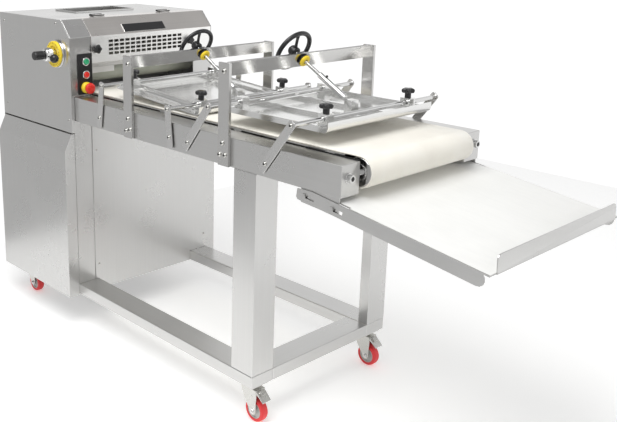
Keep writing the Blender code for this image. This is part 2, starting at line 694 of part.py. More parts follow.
def build_boards():
    ax, az = link_a[0] + link_a[1], pivot_height + link_a[2]
    bx, bz = link_b[0] + link_b[1], pivot_height + link_b[2]
    lean = math.degrees(math.atan2(az - bz, bx - ax))
    span = math.hypot(bx - ax, bz - az)
    flat = Vector((block_at[0][0] - ax, 0, block_at[0][1] - az))
    flat.rotate(Matrix.Rotation(math.radians(-lean), 3, "Y"))
    body = board_body(ax - 0.030, ax + span + 0.050, az - 0.0245, ((ax, az), (ax + span, az)),
                      (ax + flat.x, az + flat.z), 0.165, 0.006)
    turn_about_y(body, lean, (ax, 0, az))
    board = finish("board_1", body, pale_steel)
    axis_origin(board, (ax, 0, az))
    cx, cz = link_c[0] + link_c[1], pivot_height + link_c[2]
    dx = link_d[0] + link_d[1]
    body = board_body(cx - 0.030, dx + 0.050, cz - 0.0275, ((cx, cz), (dx, cz)), block_at[1], 0.080, 0.017)
    board = finish("board_2", body, pale_steel)
    axis_origin(board, (cx, 0, cz))
    turn = math.radians(lean)
    top = az + 0.0145 + gap
    for name, x, y in (("board_knob_1", ax, -0.185), ("board_knob_2", ax + span, -0.185),
                       ("board_knob_3", ax + span, 0.185)):
        p = Vector((x - ax, 0, top - az))
        p.rotate(Matrix.Rotation(turn, 3, "Y"))
        up = Vector((math.sin(turn), 0, math.cos(turn)))
        star_knob(name, (ax + p.x, y, az + p.z), up)
    for name, y in (("board_knob_4", -0.185), ("board_knob_5", 0.185)):
        star_knob(name, (dx, y, cz + 0.0145 + gap), (0, 0, 1))


# ---- tray ----
def rounded_lip(length, s):
    """Upturned front lip, narrower than the pan, with round upper corners and a slight backward lean."""
    base = length + s
    points = [(-lip_half, -s), (lip_half, -s)]
    for side in (1, -1):
        for k in range(6):
            a = math.radians(18 * k)
            turn = (math.cos(a), math.sin(a)) if side > 0 else (math.sin(a), math.cos(a))
            points.append((side * (lip_half - lip_round + lip_round * turn[0]),
                           lip_high - lip_round + lip_round * turn[1]))
    bm = bmesh.new()
    rings = []
    for shift in (-s, 0.0):
        rings.append([bm.verts.new((base + shift + max(0.0, q) * lip_lean, p, q)) for p, q in points])
    bm.faces.new(rings[0])
    bm.faces.new(list(reversed(rings[1])))
    for k in range(len(points)):
        j = (k + 1) % len(points)
        bm.faces.new((rings[0][j], rings[0][k], rings[1][k], rings[1][j]))
    bmesh.ops.recalc_face_normals(bm, faces=bm.faces)
    return join(bm, block(length - 0.004, length + s, -lip_half, lip_half, -s, 0.0))


def build_tray():
    s = 0.0025
    inner, outer = tray_half_width, tray_half_width + s
    down = math.radians(tray_drop)
    length = tray_front - tray_back
    wide_from = 0.094
    narrow = block(0.0, wide_from + 0.002, -0.3095, 0.3095, -s, 0.0)
    pan = block(wide_from, length, -outer, outer, -s, 0.0)
    lip = rounded_lip(length, s)
    flanges = []
    for side in (-1, 1):
        y0, y1 = sorted((side * inner, side * outer))
        nose = []
        for k in range(7):
            a = math.radians(90 - 30 * k)
            nose.append((length - 0.0265 + 0.018 * math.cos(a), -0.018 + 0.018 * math.sin(a)))
        outline = [(-0.078, -0.0080), (-0.030, -0.0005), *nose, (0.06, -0.036), (-0.072, -0.038), (-0.078, -0.032)]
        flanges.append(prism(outline, "y", y0, y1))
    body = join(narrow, pan, lip, *flanges)
    slots = []
    for at in bolt_along:
        for side in (-1, 1):
            c, d = sorted((side * (inner - 0.010), side * (inner + 0.010)))
            slots.append(block(at - 0.0048, at + 0.0348, c, d, bolt_drop - 0.0048, bolt_drop + 0.0048))
    body = cut(body, *slots)
    bmesh.ops.rotate(body, verts=body.verts, cent=(0, 0, 0), matrix=Matrix.Rotation(down, 3, "Y"))
    bmesh.ops.translate(body, vec=(tray_back, 0, tray_height), verts=body.verts)
    finish("catch_tray", body, (0.86, 0.86, 0.83), 0.0, 0.5)


clear_scene()
build_rails()
build_legs()
build_casters()
build_covers()
build_cabinet_panels()
build_head_sides()
build_head_top()
build_column()
build_guard()
star_knob("guard_knob_near", (head_front + gap, -0.222, 1.042), (1, 0, 0), 0.0185, 0.016, 0.005, 0.0075)
star_knob("guard_knob_far", (head_front + gap, 0.212, 1.042), (1, 0, 0), 0.0185, 0.016, 0.005, 0.0075)
build_controls()
build_dial()
build_rollers()
build_conveyor()
build_belt()
for number in (0, 1):
    build_bridge(number)
    build_screw(number)
for label, spec in (("link_a", link_a), ("link_b", link_b), ("link_c", link_c), ("link_d", link_d)):
    build_link(label, spec)
build_boards()
build_tray()
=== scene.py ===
import json
import math

import bmesh
import bpy
from mathutils import Matrix, Vector

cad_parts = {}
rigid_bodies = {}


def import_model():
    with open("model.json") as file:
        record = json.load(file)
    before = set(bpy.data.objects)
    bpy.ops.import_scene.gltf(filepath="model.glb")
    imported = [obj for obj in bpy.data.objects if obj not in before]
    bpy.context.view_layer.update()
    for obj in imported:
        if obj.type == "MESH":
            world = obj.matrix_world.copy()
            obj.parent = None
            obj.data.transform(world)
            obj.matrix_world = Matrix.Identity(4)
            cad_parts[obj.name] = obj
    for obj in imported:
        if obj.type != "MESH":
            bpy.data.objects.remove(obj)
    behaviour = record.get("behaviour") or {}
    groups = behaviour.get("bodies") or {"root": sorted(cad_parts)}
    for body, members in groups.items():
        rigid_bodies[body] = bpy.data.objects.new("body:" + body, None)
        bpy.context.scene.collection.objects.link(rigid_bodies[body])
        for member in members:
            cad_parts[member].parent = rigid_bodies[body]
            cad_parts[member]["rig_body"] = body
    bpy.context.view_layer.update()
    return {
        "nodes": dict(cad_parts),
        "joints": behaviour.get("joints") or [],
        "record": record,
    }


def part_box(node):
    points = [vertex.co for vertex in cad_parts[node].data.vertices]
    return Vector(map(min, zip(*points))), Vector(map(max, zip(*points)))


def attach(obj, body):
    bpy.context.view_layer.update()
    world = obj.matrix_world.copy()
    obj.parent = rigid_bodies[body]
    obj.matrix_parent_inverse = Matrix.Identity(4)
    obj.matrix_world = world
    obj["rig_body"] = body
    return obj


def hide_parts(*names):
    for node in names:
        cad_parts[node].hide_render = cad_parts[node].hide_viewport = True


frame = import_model()
joints = {joint["name"]: joint for joint in frame["joints"]}
print("frame loaded:", len(frame["nodes"]), "nodes")


def jointAt(name):
    return Vector(joints[name]["pos_m"])


def jointAxis(name):
    return Vector(joints[name]["axis"]).normalized()


# materials: each finish is a small node tree on Object coordinates, or on the piece's own UV map


def addNode(tree, kind, **settings):
    node = tree.nodes.new(kind)
    for key, value in settings.items():
        setattr(node, key, value)
    return node


def setInputs(node, **values):
    for key, value in values.items():
        node.inputs[key].default_value = value
    return node


# a Mapping node on one of the piece's own coordinates
def mappingOn(tree, coord="Object", stretch=(1.0, 1.0, 1.0)):
    texture = addNode(tree, "ShaderNodeTexCoord")
    mapping = setInputs(addNode(tree, "ShaderNodeMapping"), Scale=stretch)
    tree.links.new(texture.outputs[coord], mapping.inputs["Vector"])
    return mapping


# a Principled material with its tree, its shader and a Mapping node
def freshMaterial(name, metallic, coord="Object", stretch=(1.0, 1.0, 1.0)):
    material = bpy.data.materials.new(name)
    material.use_nodes = True
    tree = material.node_tree
    shader = tree.nodes["Principled BSDF"]
    shader.inputs["Metallic"].default_value = metallic
    return material, tree, shader, mappingOn(tree, coord, stretch)


def noiseOn(tree, mapping, scale, detail=3.0, rough=0.55):
    noise = setInputs(addNode(tree, "ShaderNodeTexNoise"), Scale=scale, Detail=detail, Roughness=rough)
    tree.links.new(mapping.outputs["Vector"], noise.inputs["Vector"])
    return noise


def rampOn(tree, source, dark, light, low=0.3, high=0.7):
    ramp = addNode(tree, "ShaderNodeValToRGB")
    ramp.color_ramp.elements[0].position = low
    ramp.color_ramp.elements[1].position = high
    ramp.color_ramp.elements[0].color = (*dark, 1.0)
    ramp.color_ramp.elements[1].color = (*light, 1.0)
    tree.links.new(source, ramp.inputs["Fac"])
    return ramp


def rangeOn(tree, source, low, high, fromLow=0.3, fromHigh=0.7):
    spread = addNode(tree, "ShaderNodeMapRange")
    setInputs(spread, **{"From Min": fromLow, "From Max": fromHigh, "To Min": low, "To Max": high})
    tree.links.new(source, spread.inputs["Value"])
    return spread


# the product of two ramps becomes the base colour
def colourFrom(tree, shader, first, second):
    mix = addNode(tree, "ShaderNodeMix", data_type="RGBA", blend_type="MULTIPLY")
    mix.inputs["Factor"].default_value = 1.0
    tree.links.new(first.outputs["Color"], mix.inputs["A"])
    tree.links.new(second.outputs["Color"], mix.inputs["B"])
    tree.links.new(mix.outputs["Result"], shader.inputs["Base Color"])


# a noise moves the roughness between two values
def glossFrom(tree, shader, noise, low, high):
    gloss = rangeOn(tree, noise.outputs["Fac"], low, high)
    tree.links.new(gloss.outputs["Result"], shader.inputs["Roughness"])


def bumpOn(tree, shader, height, strength, distance):
    bump = setInputs(addNode(tree, "ShaderNodeBump"), Strength=strength, Distance=distance)
    tree.links.new(height, bump.inputs["Height"])
    tree.links.new(bump.outputs["Normal"], shader.inputs["Normal"])


def scaled(colour, factor):
    return tuple(min(1.0, value * factor) for value in colour)


steelLook = {
    "sheet": {"tone": (0.62, 0.617, 0.608), "rough": 0.28, "streak": 0.02, "smudge": 0.03},
    "bright": {"tone": (0.66, 0.656, 0.648), "rough": 0.26, "streak": 0.02, "smudge": 0.03},
    "beam": {"tone": (0.62, 0.615, 0.605), "rough": 0.18, "streak": 0.02, "smudge": 0.03},
    "warm": {"tone": (0.72, 0.69, 0.665), "rough": 0.28, "streak": 0.03, "smudge": 0.04},
    # painted light: a near-white copy of the guard's steel for its front faces, as if lit from the front
    "guardPaintedLight": {"tone": (0.97, 0.965, 0.95), "rough": 0.42, "streak": 0.02, "smudge": 0.03},
    "board": {"tone": (0.82, 0.82, 0.81), "rough": 0.16, "streak": 0.03, "smudge": 0.05},
    "polished": {"tone": (0.70, 0.70, 0.695), "rough": 0.13, "streak": 0.02, "smudge": 0.03},
    "plated": {"tone": (0.62, 0.615, 0.59), "rough": 0.24, "streak": 0.02, "smudge": 0.10},
    "dark": {"tone": (0.24, 0.24, 0.24), "rough": 0.35, "streak": 0.05, "smudge": 0.06},
}


steelGrain = {"along": 3.0, "across": 420.0, "clouds": 4.5, "glossier": 0.03, "duller": 0.06,
              "strength": 0.02, "distance": 0.00005}


# fine lines along one axis, with slow smudges in tone and gloss
def brushedSteel(kind, grain):
    name = f"{kind}Steel{grain}"
    if name in bpy.data.materials:
        return bpy.data.materials[name]
    look = steelLook[kind]
    tone, streak = look["tone"], look["streak"]
    stretch = tuple(steelGrain["along"] if axis == grain else steelGrain["across"] for axis in "XYZ")
    material, tree, shader, lines = freshMaterial(name, 1.0, stretch=stretch)
    fine = noiseOn(tree, lines, 1.0, 3.0, 0.6)
    cloud = noiseOn(tree, mappingOn(tree), steelGrain["clouds"], 4.0, 0.6)
    streaks = rampOn(tree, fine.outputs["Fac"], scaled(tone, 1 - streak), scaled(tone, 1 + streak))
    clouds = rampOn(tree, cloud.outputs["Fac"], (1 - look["smudge"],) * 3, (1.0, 1.0, 1.0))
    colourFrom(tree, shader, streaks, clouds)
    rough = look["rough"]
    glossFrom(tree, shader, cloud, rough - steelGrain["glossier"], rough + steelGrain["duller"])
    bumpOn(tree, shader, fine.outputs["Fac"], steelGrain["strength"], steelGrain["distance"])
    return material


plasticLook = {
    "blackKnob": {"tone": (0.018, 0.018, 0.019), "rough": 0.30, "grit": 900.0, "relief": 0.10},
    "blackWheel": {"tone": (0.016, 0.016, 0.018), "rough": 0.24, "grit": 500.0, "relief": 0.05},
    "blackPanel": {"tone": (0.012, 0.012, 0.013), "rough": 0.34, "grit": 1200.0, "relief": 0.06},
    # painted shade: near-black for the gaps beside the belt and the recesses in screw heads, where shade
    # falls
    "paintedShadeBlack": {"tone": (0.010, 0.010, 0.010), "rough": 0.60, "grit": 300.0, "relief": 0.06},
    "bushYellow": {"tone": (0.90, 0.66, 0.03), "rough": 0.36, "grit": 700.0, "relief": 0.05},
    "buttonGreen": {"tone": (0.03, 0.38, 0.17), "rough": 0.28, "grit": 900.0, "relief": 0.03},
    "buttonRed": {"tone": (0.78, 0.03, 0.02), "rough": 0.28, "grit": 900.0, "relief": 0.03},
    "wheelRed": {"tone": (0.74, 0.035, 0.04), "rough": 0.42, "grit": 260.0, "relief": 0.12},
    "hubGrey": {"tone": (0.52, 0.52, 0.50), "rough": 0.45, "grit": 420.0, "relief": 0.08},
    "rollerGreen": {"tone": (0.46, 0.48, 0.42), "rough": 0.32, "grit": 240.0, "relief": 0.06},
    "scraperWhite": {"tone": (0.95, 0.95, 0.93), "rough": 0.40, "grit": 300.0, "relief": 0.05},
}


mouldGrain = {"clouds": 14.0, "darker": 0.88, "lighter": 1.08, "glossier": 0.04, "duller": 0.07,
              "distance": 0.0004}


# slightly uneven moulded surface: tone, gloss and a fine orange-peel bump
def mouldedPlastic(kind):
    if kind in bpy.data.materials:
        return bpy.data.materials[kind]
    look = plasticLook[kind]
    tone, rough = look["tone"], look["rough"]
    material, tree, shader, mapping = freshMaterial(kind, 0.0)
    cloud = noiseOn(tree, mapping, mouldGrain["clouds"], 3.0, 0.6)
    grit = noiseOn(tree, mapping, look["grit"], 2.0, 0.5)
    shades = scaled(tone, mouldGrain["darker"]), scaled(tone, mouldGrain["lighter"])
    colour = rampOn(tree, cloud.outputs["Fac"], *shades)
    tree.links.new(colour.outputs["Color"], shader.inputs["Base Color"])
    glossFrom(tree, shader, cloud, rough - mouldGrain["glossier"], rough + mouldGrain["duller"])
    bumpOn(tree, shader, grit.outputs["Fac"], look["relief"], mouldGrain["distance"])
    return material


beltLook = {"pale": (0.93, 0.90, 0.815), "shade": (0.85, 0.81, 0.73), "flour": (0.96, 0.945, 0.89),
            "threadsPerMetre": 620.0, "rough": 0.92, "sheen": 0.35, "weaveDark": 0.93, "clouds": 7.0,
            "fibres": 900.0, "strength": 0.30, "distance": 0.0004}


# woven felt on the belt's own UV map, in metres along and across
def beltFelt():
    material, tree, shader, mapping = freshMaterial("beltFelt", 0.0, coord="UV")
    waves = []
    for direction in ("X", "Y"):
        wave = addNode(tree, "ShaderNodeTexWave", wave_type="BANDS", bands_direction=direction)
        setInputs(wave, Scale=beltLook["threadsPerMetre"] / 3.18, Distortion=0.8, Detail=1.0)
        wave.inputs["Detail Scale"].default_value = 1.5
        tree.links.new(mapping.outputs["Vector"], wave.inputs["Vector"])
        waves.append(wave)
    weave = addNode(tree, "ShaderNodeMath", operation="MULTIPLY")
    tree.links.new(waves[0].outputs["Fac"], weave.inputs[0])
    tree.links.new(waves[1].outputs["Fac"], weave.inputs[1])
    cloud = noiseOn(tree, mapping, beltLook["clouds"], 5.0, 0.6)
    fibre = noiseOn(tree, mapping, beltLook["fibres"], 3.0, 0.6)
    base = rampOn(tree, cloud.outputs["Fac"], beltLook["shade"], beltLook["flour"], 0.22, 0.80)
    base.color_ramp.elements.new(0.5).color = (*beltLook["pale"], 1.0)
    cross = rampOn(tree, weave.outputs["Value"], (beltLook["weaveDark"],) * 3, (1.0, 1.0, 1.0), 0.0, 0.6)
    colourFrom(tree, shader, base, cross)
    height = addNode(tree, "ShaderNodeMath", operation="ADD")
    tree.links.new(weave.outputs["Value"], height.inputs[0])
    tree.links.new(fibre.outputs["Fac"], height.inputs[1])
    bumpOn(tree, shader, height.outputs["Value"], beltLook["strength"], beltLook["distance"])
    setInputs(shader, **{"Roughness": beltLook["rough"], "Sheen Weight": beltLook["sheen"],
                         "Sheen Roughness": 0.5})
    return material


linerLook = {"tone": (0.87, 0.87, 0.85), "shade": (0.82, 0.82, 0.80), "rough": 0.42, "rubTone": 0.975,
             "stretch": (6.0, 90.0, 90.0), "strength": 0.05, "distance": 0.0002}


# off-white food-grade sheet with faint rub marks along the tray
def linerPlastic():
    stretch, rough = linerLook["stretch"], linerLook["rough"]
    material, tree, shader, mapping = freshMaterial("linerPlastic", 0.0, stretch=stretch)
    rub = noiseOn(tree, mapping, 1.0, 4.0, 0.65)
    cloud = noiseOn(tree, mappingOn(tree), 5.0, 3.0, 0.55)
    base = rampOn(tree, cloud.outputs["Fac"], linerLook["shade"], linerLook["tone"], 0.25, 0.65)
    marks = rampOn(tree, rub.outputs["Fac"], (linerLook["rubTone"],) * 3, (1.0, 1.0, 1.0), 0.35, 0.60)
    colourFrom(tree, shader, base, marks)
    glossFrom(tree, shader, rub, rough - 0.05, rough + 0.10)
    bumpOn(tree, shader, rub.outputs["Fac"], linerLook["strength"], linerLook["distance"])
    return material


# mesh helpers: a finished piece is one plain mesh at the origin, riding on one body


def newObject(name, mesh):
    piece = bpy.data.objects.new(name, mesh)
    bpy.context.scene.collection.objects.link(piece)
    return piece


# turns the piece's live modifiers into its plain mesh
def settle(piece):
    bpy.context.view_layer.update()
    graph = bpy.context.evaluated_depsgraph_get()
    mesh = bpy.data.meshes.new_from_object(piece.evaluated_get(graph))
    piece.modifiers.clear()
    piece.data = mesh
    return piece


# mesh code's result becomes a piece: normals out, edges rounded, smooth by angle, riding on its body
def makePiece(name, form, material, body, bevel=0.0, segments=2, angle=32.0, recalc=True):
    bmesh.ops.remove_doubles(form, verts=form.verts, dist=0.00001)
    if recalc:
        bmesh.ops.recalc_face_normals(form, faces=form.faces)
    mesh = bpy.data.meshes.new(name)
    form.to_mesh(mesh)
    form.free()
    mesh.shade_smooth()
    mesh.set_sharp_from_angle(angle=math.radians(angle))
    piece = newObject(name, mesh)
    mesh.materials.append(material)
    if bevel > 0:
        rounding = piece.modifiers.new("rounding", "BEVEL")
        rounding.width = bevel
        rounding.segments = segments
        rounding.limit_method = "ANGLE"
        rounding.angle_limit = math.radians(angle)
        rounding.harden_normals = True
        settle(piece)
    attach(piece, body)
    return piece


def bodyOf(node):
    return frame["nodes"][node]["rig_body"]


def slotOf(node):
    for part in frame["record"]["subparts"]:
        if part["node"] == node:
            return part["material_slot"]
    return None


# a CAD node's own shape with merged faces and rounded, light-catching edges
def softened(node, material, bevel=0.0008, segments=2, angle=32.0):
    form = bmesh.new()
    form.from_mesh(frame["nodes"][node].data)
    bmesh.ops.remove_doubles(form, verts=form.verts, dist=0.00001)
    bmesh.ops.dissolve_limit(form, angle_limit=math.radians(0.6), verts=form.verts, edges=form.edges)
    piece = makePiece(node + "Finish", form, material, bodyOf(node), bevel, segments, angle,
                      recalc=False)
    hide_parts(node)
    return piece


# rounds the inner corners of an open profile
def roundedProfile(points, radius, steps=4):
    result = [points[0]]
    for before, corner, after in zip(points, points[1:], points[2:]):
        a, b, c = Vector(before), Vector(corner), Vector(after)
        reach = min(radius, (b - a).length * 0.49, (c - b).length * 0.49)
        first = b + (a - b).normalized() * reach
        last = b + (c - b).normalized() * reach
        for step in range(steps + 1):
            t = step / steps
            result.append(tuple(first * (1 - t) ** 2 + b * (2 * t * (1 - t)) + last * t * t))
    result.append(points[-1])
    return result


# turns a (distance along, radius) profile about start + direction; wobble(angle, along) scales the radius
def revolve(profile, start, direction, sides=48, form=None, closed=True, wobble=None):
    form = form or bmesh.new()
    axis = Vector(direction).normalized()
    side = Vector((0, 1, 0)) if abs(axis.y) < 0.9 else Vector((1, 0, 0))
    u = (side - axis * side.dot(axis)).normalized()
    v = axis.cross(u)
    rings = []
    for along, radius in profile:
        ring = []
        for k in range(sides):
            angle = 2 * math.pi * k / sides
            reach = radius * (wobble(angle, along) if wobble else 1.0)
            place = Vector(start) + axis * along + u * (reach * math.cos(angle))
            ring.append(form.verts.new(place + v * (reach * math.sin(angle))))
        rings.append(ring)
    for first, second in zip(rings, rings[1:]):
        for k in range(sides):
            j = (k + 1) % sides
            form.faces.new((first[k], first[j], second[j], second[k]))
    if closed:
        form.faces.new(list(reversed(rings[0])))
        form.faces.new(rings[-1])
    else:
        for k in range(sides):
            j = (k + 1) % sides
            form.faces.new((rings[-1][k], rings[-1][j], rings[0][j], rings[0][k]))
    return form


# a turned profile as a finished piece, its corners softened when soft is given
def turnedPiece(name, profile, start, direction, sides, material, body, slot, soft=0.0, angle=32.0,
                **turning):
    if soft:
        profile = roundedProfile(profile, soft)
    form = revolve(profile, start, direction, sides, **turning)
    return makePiece(name, form, material, body, angle=angle)


def addBlock(form, low, high):
    size = Vector(high) - Vector(low)
    middle = (Vector(high) + Vector(low)) / 2
    made = bmesh.ops.create_cube(form, size=1.0)["verts"]
    bmesh.ops.scale(form, vec=size, verts=made)
    bmesh.ops.translate(form, vec=middle, verts=made)


# a flat outline of (along, across) points pushed by thickness to both sides of its plane
def addPlate(form, outline, origin, along, across, normal, thickness):
    sides = []
    for shift in (-thickness / 2, thickness / 2):
        ring = []
        for p, q in outline:
            place = Vector(origin) + Vector(along) * p + Vector(across) * q + Vector(normal) * shift
            ring.append(form.verts.new(place))
        sides.append(ring)
    count = len(outline)
    form.faces.new(sides[0])
    form.faces.new(list(reversed(sides[1])))
    for k in range(count):
        j = (k + 1) % count
        form.faces.new((sides[0][j], sides[0][k], sides[1][k], sides[1][j]))
    return form


# a bar's outline: softly cornered beyond its far pivot, square at the tail
def armOutline(length, half, tail, corner, steps=6):
    points = []
    for side in (1, -1):
        for k in range(steps + 1):
            angle = math.radians(90) * (k if side > 0 else steps - k) / steps
            along = length + half - corner + corner * math.sin(angle)
            points.append((along, side * (half - corner + corner * math.cos(angle))))
    points.append((tail, -half))
    points.append((tail, half))
    return points


def roundedBox(halfLong, halfWide, radius, steps=5):
    points = []
    corners = ((halfLong, halfWide, 0), (-halfLong, halfWide, 90), (-halfLong, -halfWide, 180),
               (halfLong, -halfWide, 270))
    for x, y, start in corners:
        centreX = x - math.copysign(radius, x)
        centreY = y - math.copysign(radius, y)
        for k in range(steps + 1):
            angle = math.radians(start + 90 * k / steps)
            points.append((centreX + radius * math.cos(angle), centreY + radius * math.sin(angle)))
    return points


# repeated fasteners: one Geometry Nodes tree puts a head on every marked point


# button-head socket screw of unit radius, standing on z = 0, with a washer under it
def buttonHeadMesh():
    form = revolve([(0.0, 1.30), (0.16, 1.30)], (0, 0, 0), (0, 0, 1), 28)
    dome = [(0.16, 1.0), (0.34, 0.98), (0.60, 0.80), (0.74, 0.50), (0.74, 0.46)]
    revolve(dome, (0, 0, 0), (0, 0, 1), 24, form)
    return form


# painted shade: a black hexagon standing in a button head, where its socket recess falls into shade
def socketShadeMesh():
    return revolve([(0.60, 0.56), (0.756, 0.56)], (0, 0, 0), (0, 0, 1), 6)


# hexagon head on a washer, unit across corners
def hexBoltMesh():
    washer = roundedProfile([(0.0, 1.35), (0.18, 1.35), (0.18, 1.2)], 0.05, 2)
    form = revolve(washer, (0, 0, 0), (0, 0, 1), 28)
    revolve([(0.18, 0.98), (0.72, 0.98), (0.84, 0.84)], (0, 0, 0), (0, 0, 1), 6, form)
    revolve([(0.80, 0.50), (0.98, 0.50), (1.04, 0.42)], (0, 0, 0), (0, 0, 1), 16, form)
    return form


# small domed panel screw
def panHeadMesh():
    profile = [(0.0, 1.0), (0.25, 1.0), (0.48, 0.82), (0.60, 0.50), (0.62, 0.20)]
    return revolve(profile, (0, 0, 0), (0, 0, 1), 20)


# painted shade: a black cross standing in a pan head, where its slot falls into shade
def crossShadeMesh():
    form = bmesh.new()
    addBlock(form, (-0.55, -0.11, 0.50), (0.55, 0.11, 0.635))
    addBlock(form, (-0.11, -0.55, 0.50), (0.11, 0.55, 0.634))
    return form


headMaker = {"buttonHead": buttonHeadMesh, "socket": socketShadeMesh, "hexBolt": hexBoltMesh,
             "panHead": panHeadMesh, "cross": crossShadeMesh}
heads = {}
for headName, maker in headMaker.items():
    headForm = maker()
    bmesh.ops.recalc_face_normals(headForm, faces=headForm.faces)
    headMesh = bpy.data.meshes.new(headName)
    headForm.to_mesh(headMesh)
    headForm.free()
    headMesh.shade_smooth()
    headMesh.set_sharp_from_angle(angle=math.radians(35))
    heads[headName] = newObject(headName, headMesh)


# a Geometry Nodes tree with named inputs and one geometry output
def geometryTree(name, inputs, result):
    tree = bpy.data.node_groups.new(name, "GeometryNodeTree")
    for label, kind in inputs:
        tree.interface.new_socket(label, in_out="INPUT", socket_type="NodeSocket" + kind)
    tree.interface.new_socket(result, in_out="OUTPUT", socket_type="NodeSocketGeometry")
    return tree, addNode(tree, "NodeGroupInput"), addNode(tree, "NodeGroupOutput")


def joinUp(tree, links):
    for source, output, target, entry in links:
        tree.links.new(source.outputs[output], target.inputs[entry])


# points with a facing attribute become screws of one size, each turned by its own seeded angle
def fastenerTree():
    inputs = (("Points", "Geometry"), ("Head", "Object"), ("Radius", "Float"), ("Spin Seed", "Int"),
              ("Finish", "Material"))
    tree, entry, leave = geometryTree("fastenerRows", inputs, "Fasteners")
    info = addNode(tree, "GeometryNodeObjectInfo")
    facing = addNode(tree, "GeometryNodeInputNamedAttribute", data_type="FLOAT_VECTOR")
    facing.inputs["Name"].default_value = "facing"
    align = addNode(tree, "FunctionNodeAlignRotationToVector", axis="Z")
    place = addNode(tree, "GeometryNodeInstanceOnPoints")
    spin = addNode(tree, "FunctionNodeRandomValue", data_type="FLOAT")
    spin.inputs[3].default_value = 2 * math.pi  # a full turn at most
    spinTurn = addNode(tree, "ShaderNodeCombineXYZ")
    turn = addNode(tree, "GeometryNodeRotateInstances")
    real = addNode(tree, "GeometryNodeRealizeInstances")
    paint = addNode(tree, "GeometryNodeSetMaterial")
    joinUp(tree, ((entry, "Points", place, "Points"), (entry, "Head", info, "Object"),
                  (info, "Geometry", place, "Instance"), (facing, "Attribute", align, "Vector"),
                  (align, "Rotation", place, "Rotation"), (entry, "Radius", place, "Scale"),
                  (place, "Instances", turn, "Instances"), (entry, "Spin Seed", spin, "Seed"),
                  (spin, 1, spinTurn, "Z"), (spinTurn, "Vector", turn, "Rotation"),
                  (turn, "Instances", real, "Geometry"), (real, "Geometry", paint, "Geometry"),
                  (entry, "Finish", paint, "Material"), (paint, "Geometry", leave, "Fasteners")))
    return tree


fasteners = fastenerTree()


def socketKey(tree, name):
    for item in tree.interface.items_tree:
        if item.name == name and item.in_out == "INPUT":
            return item.identifier
    raise KeyError(name)


# feeds a Geometry Nodes tree, keeps its plain mesh and lets it ride on a body
def runTree(name, tree, start, body, slot, **values):
    piece = newObject(name, start)
    modifier = piece.modifiers.new("tree", "NODES")
    modifier.node_group = tree
    for key, value in values.items():
        modifier[socketKey(tree, key)] = value
    settle(piece)
    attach(piece, body)
    return piece


# spots is a list of (place, facing)
def fastenerRow(name, spots, head, radius, finish, body, slot, seed=1):
    start = bpy.data.meshes.new(name)
    start.from_pydata([tuple(place) for place, facing in spots], [], [])
    attribute = start.attributes.new("facing", "FLOAT_VECTOR", "POINT")
    for k, (place, facing) in enumerate(spots):
        attribute.data[k].vector = facing
    return runTree(name, fasteners, start, body, slot,
                   **{"Head": heads[head], "Radius": radius, "Spin Seed": seed, "Finish": finish})


# a row of screws in steel, with painted shade: black shapes where the recesses in their heads fall into shade
def screwPair(name, spots, style, radius, body, slot, seed=1):
    recessShade = {"buttonHead": "socket", "panHead": "cross"}[style]
    fastenerRow(name, spots, style, radius, brushedSteel("plated", "X"), body, slot, seed)
    fastenerRow(name + "Recess", spots, recessShade, radius, mouldedPlastic("paintedShadeBlack"), body, slot, seed)


# sheet metal: the CAD nodes' own shapes, with rounded edges

sheetFinish = {
    "rail_near": ("sheet", "X", 0.0022), "rail_far": ("sheet", "X", 0.0022),
    "rail_front": ("sheet", "Y", 0.0022), "rail_rear": ("sheet", "Y", 0.0022),
    "leg_near": ("sheet", "Z", 0.0016), "leg_far": ("sheet", "Z", 0.0016),
    "cabinet_cover_near": ("sheet", "Z", 0.0010), "cabinet_cover_far": ("sheet", "Z", 0.0010),
    "cabinet_front_panel": ("sheet", "Z", 0.0006), "back_panel": ("sheet", "Z", 0.0006),
    "head_side_near": ("sheet", "Z", 0.0008), "head_side_far": ("sheet", "Z", 0.0008),
    "head_top": ("sheet", "Y", 0.0008), "head_column": ("bright", "Z", 0.0008),
    "front_guard": ("warm", "Y", 0.0005),
    "conveyor_side_near": ("sheet", "X", 0.0016), "conveyor_side_far": ("sheet", "X", 0.0016),
    "belt_bed": ("sheet", "X", 0.0006), "bridge_1": ("beam", "Y", 0.0007), "bridge_2": ("beam", "Y", 0.0007),
    "board_1": ("board", "X", 0.0008), "board_2": ("board", "X", 0.0008),
    "catch_tray": ("sheet", "X", 0.0009),
}
sheetPieces = {}
for node, (kind, grain, bevel) in sheetFinish.items():
    sheetPieces[node] = softened(node, brushedSteel(kind, grain), bevel)


# painted light: the faces that look straight along +X take a second, near-white copy of the steel, lighter as
# if lit from the front
def paintLitFront(piece, material):
    piece.data.materials.append(material)
    for polygon in piece.data.polygons:
        if polygon.normal.x > 0.98:
            polygon.material_index = 1


paintLitFront(sheetPieces["front_guard"], brushedSteel("guardPaintedLight", "Y"))
print("sheet metal done:", len(sheetFinish), "pieces")


# belt, drums and rollers

beltSpec = {"edgeRound": 0.0012, "arcSteps": 28, "across": (0.25, 0.5, 0.75), "clear": 0.0004}


# points and outward directions of a half turn about a drum's axis
def halfTurn(centre, radius, startAngle):
    path = []
    for k in range(beltSpec["arcSteps"] + 1):
        angle = startAngle - math.pi * k / beltSpec["arcSteps"]
        out = Vector((math.cos(angle), 0, math.sin(angle)))
        path.append((centre + out * radius, out))
    return path


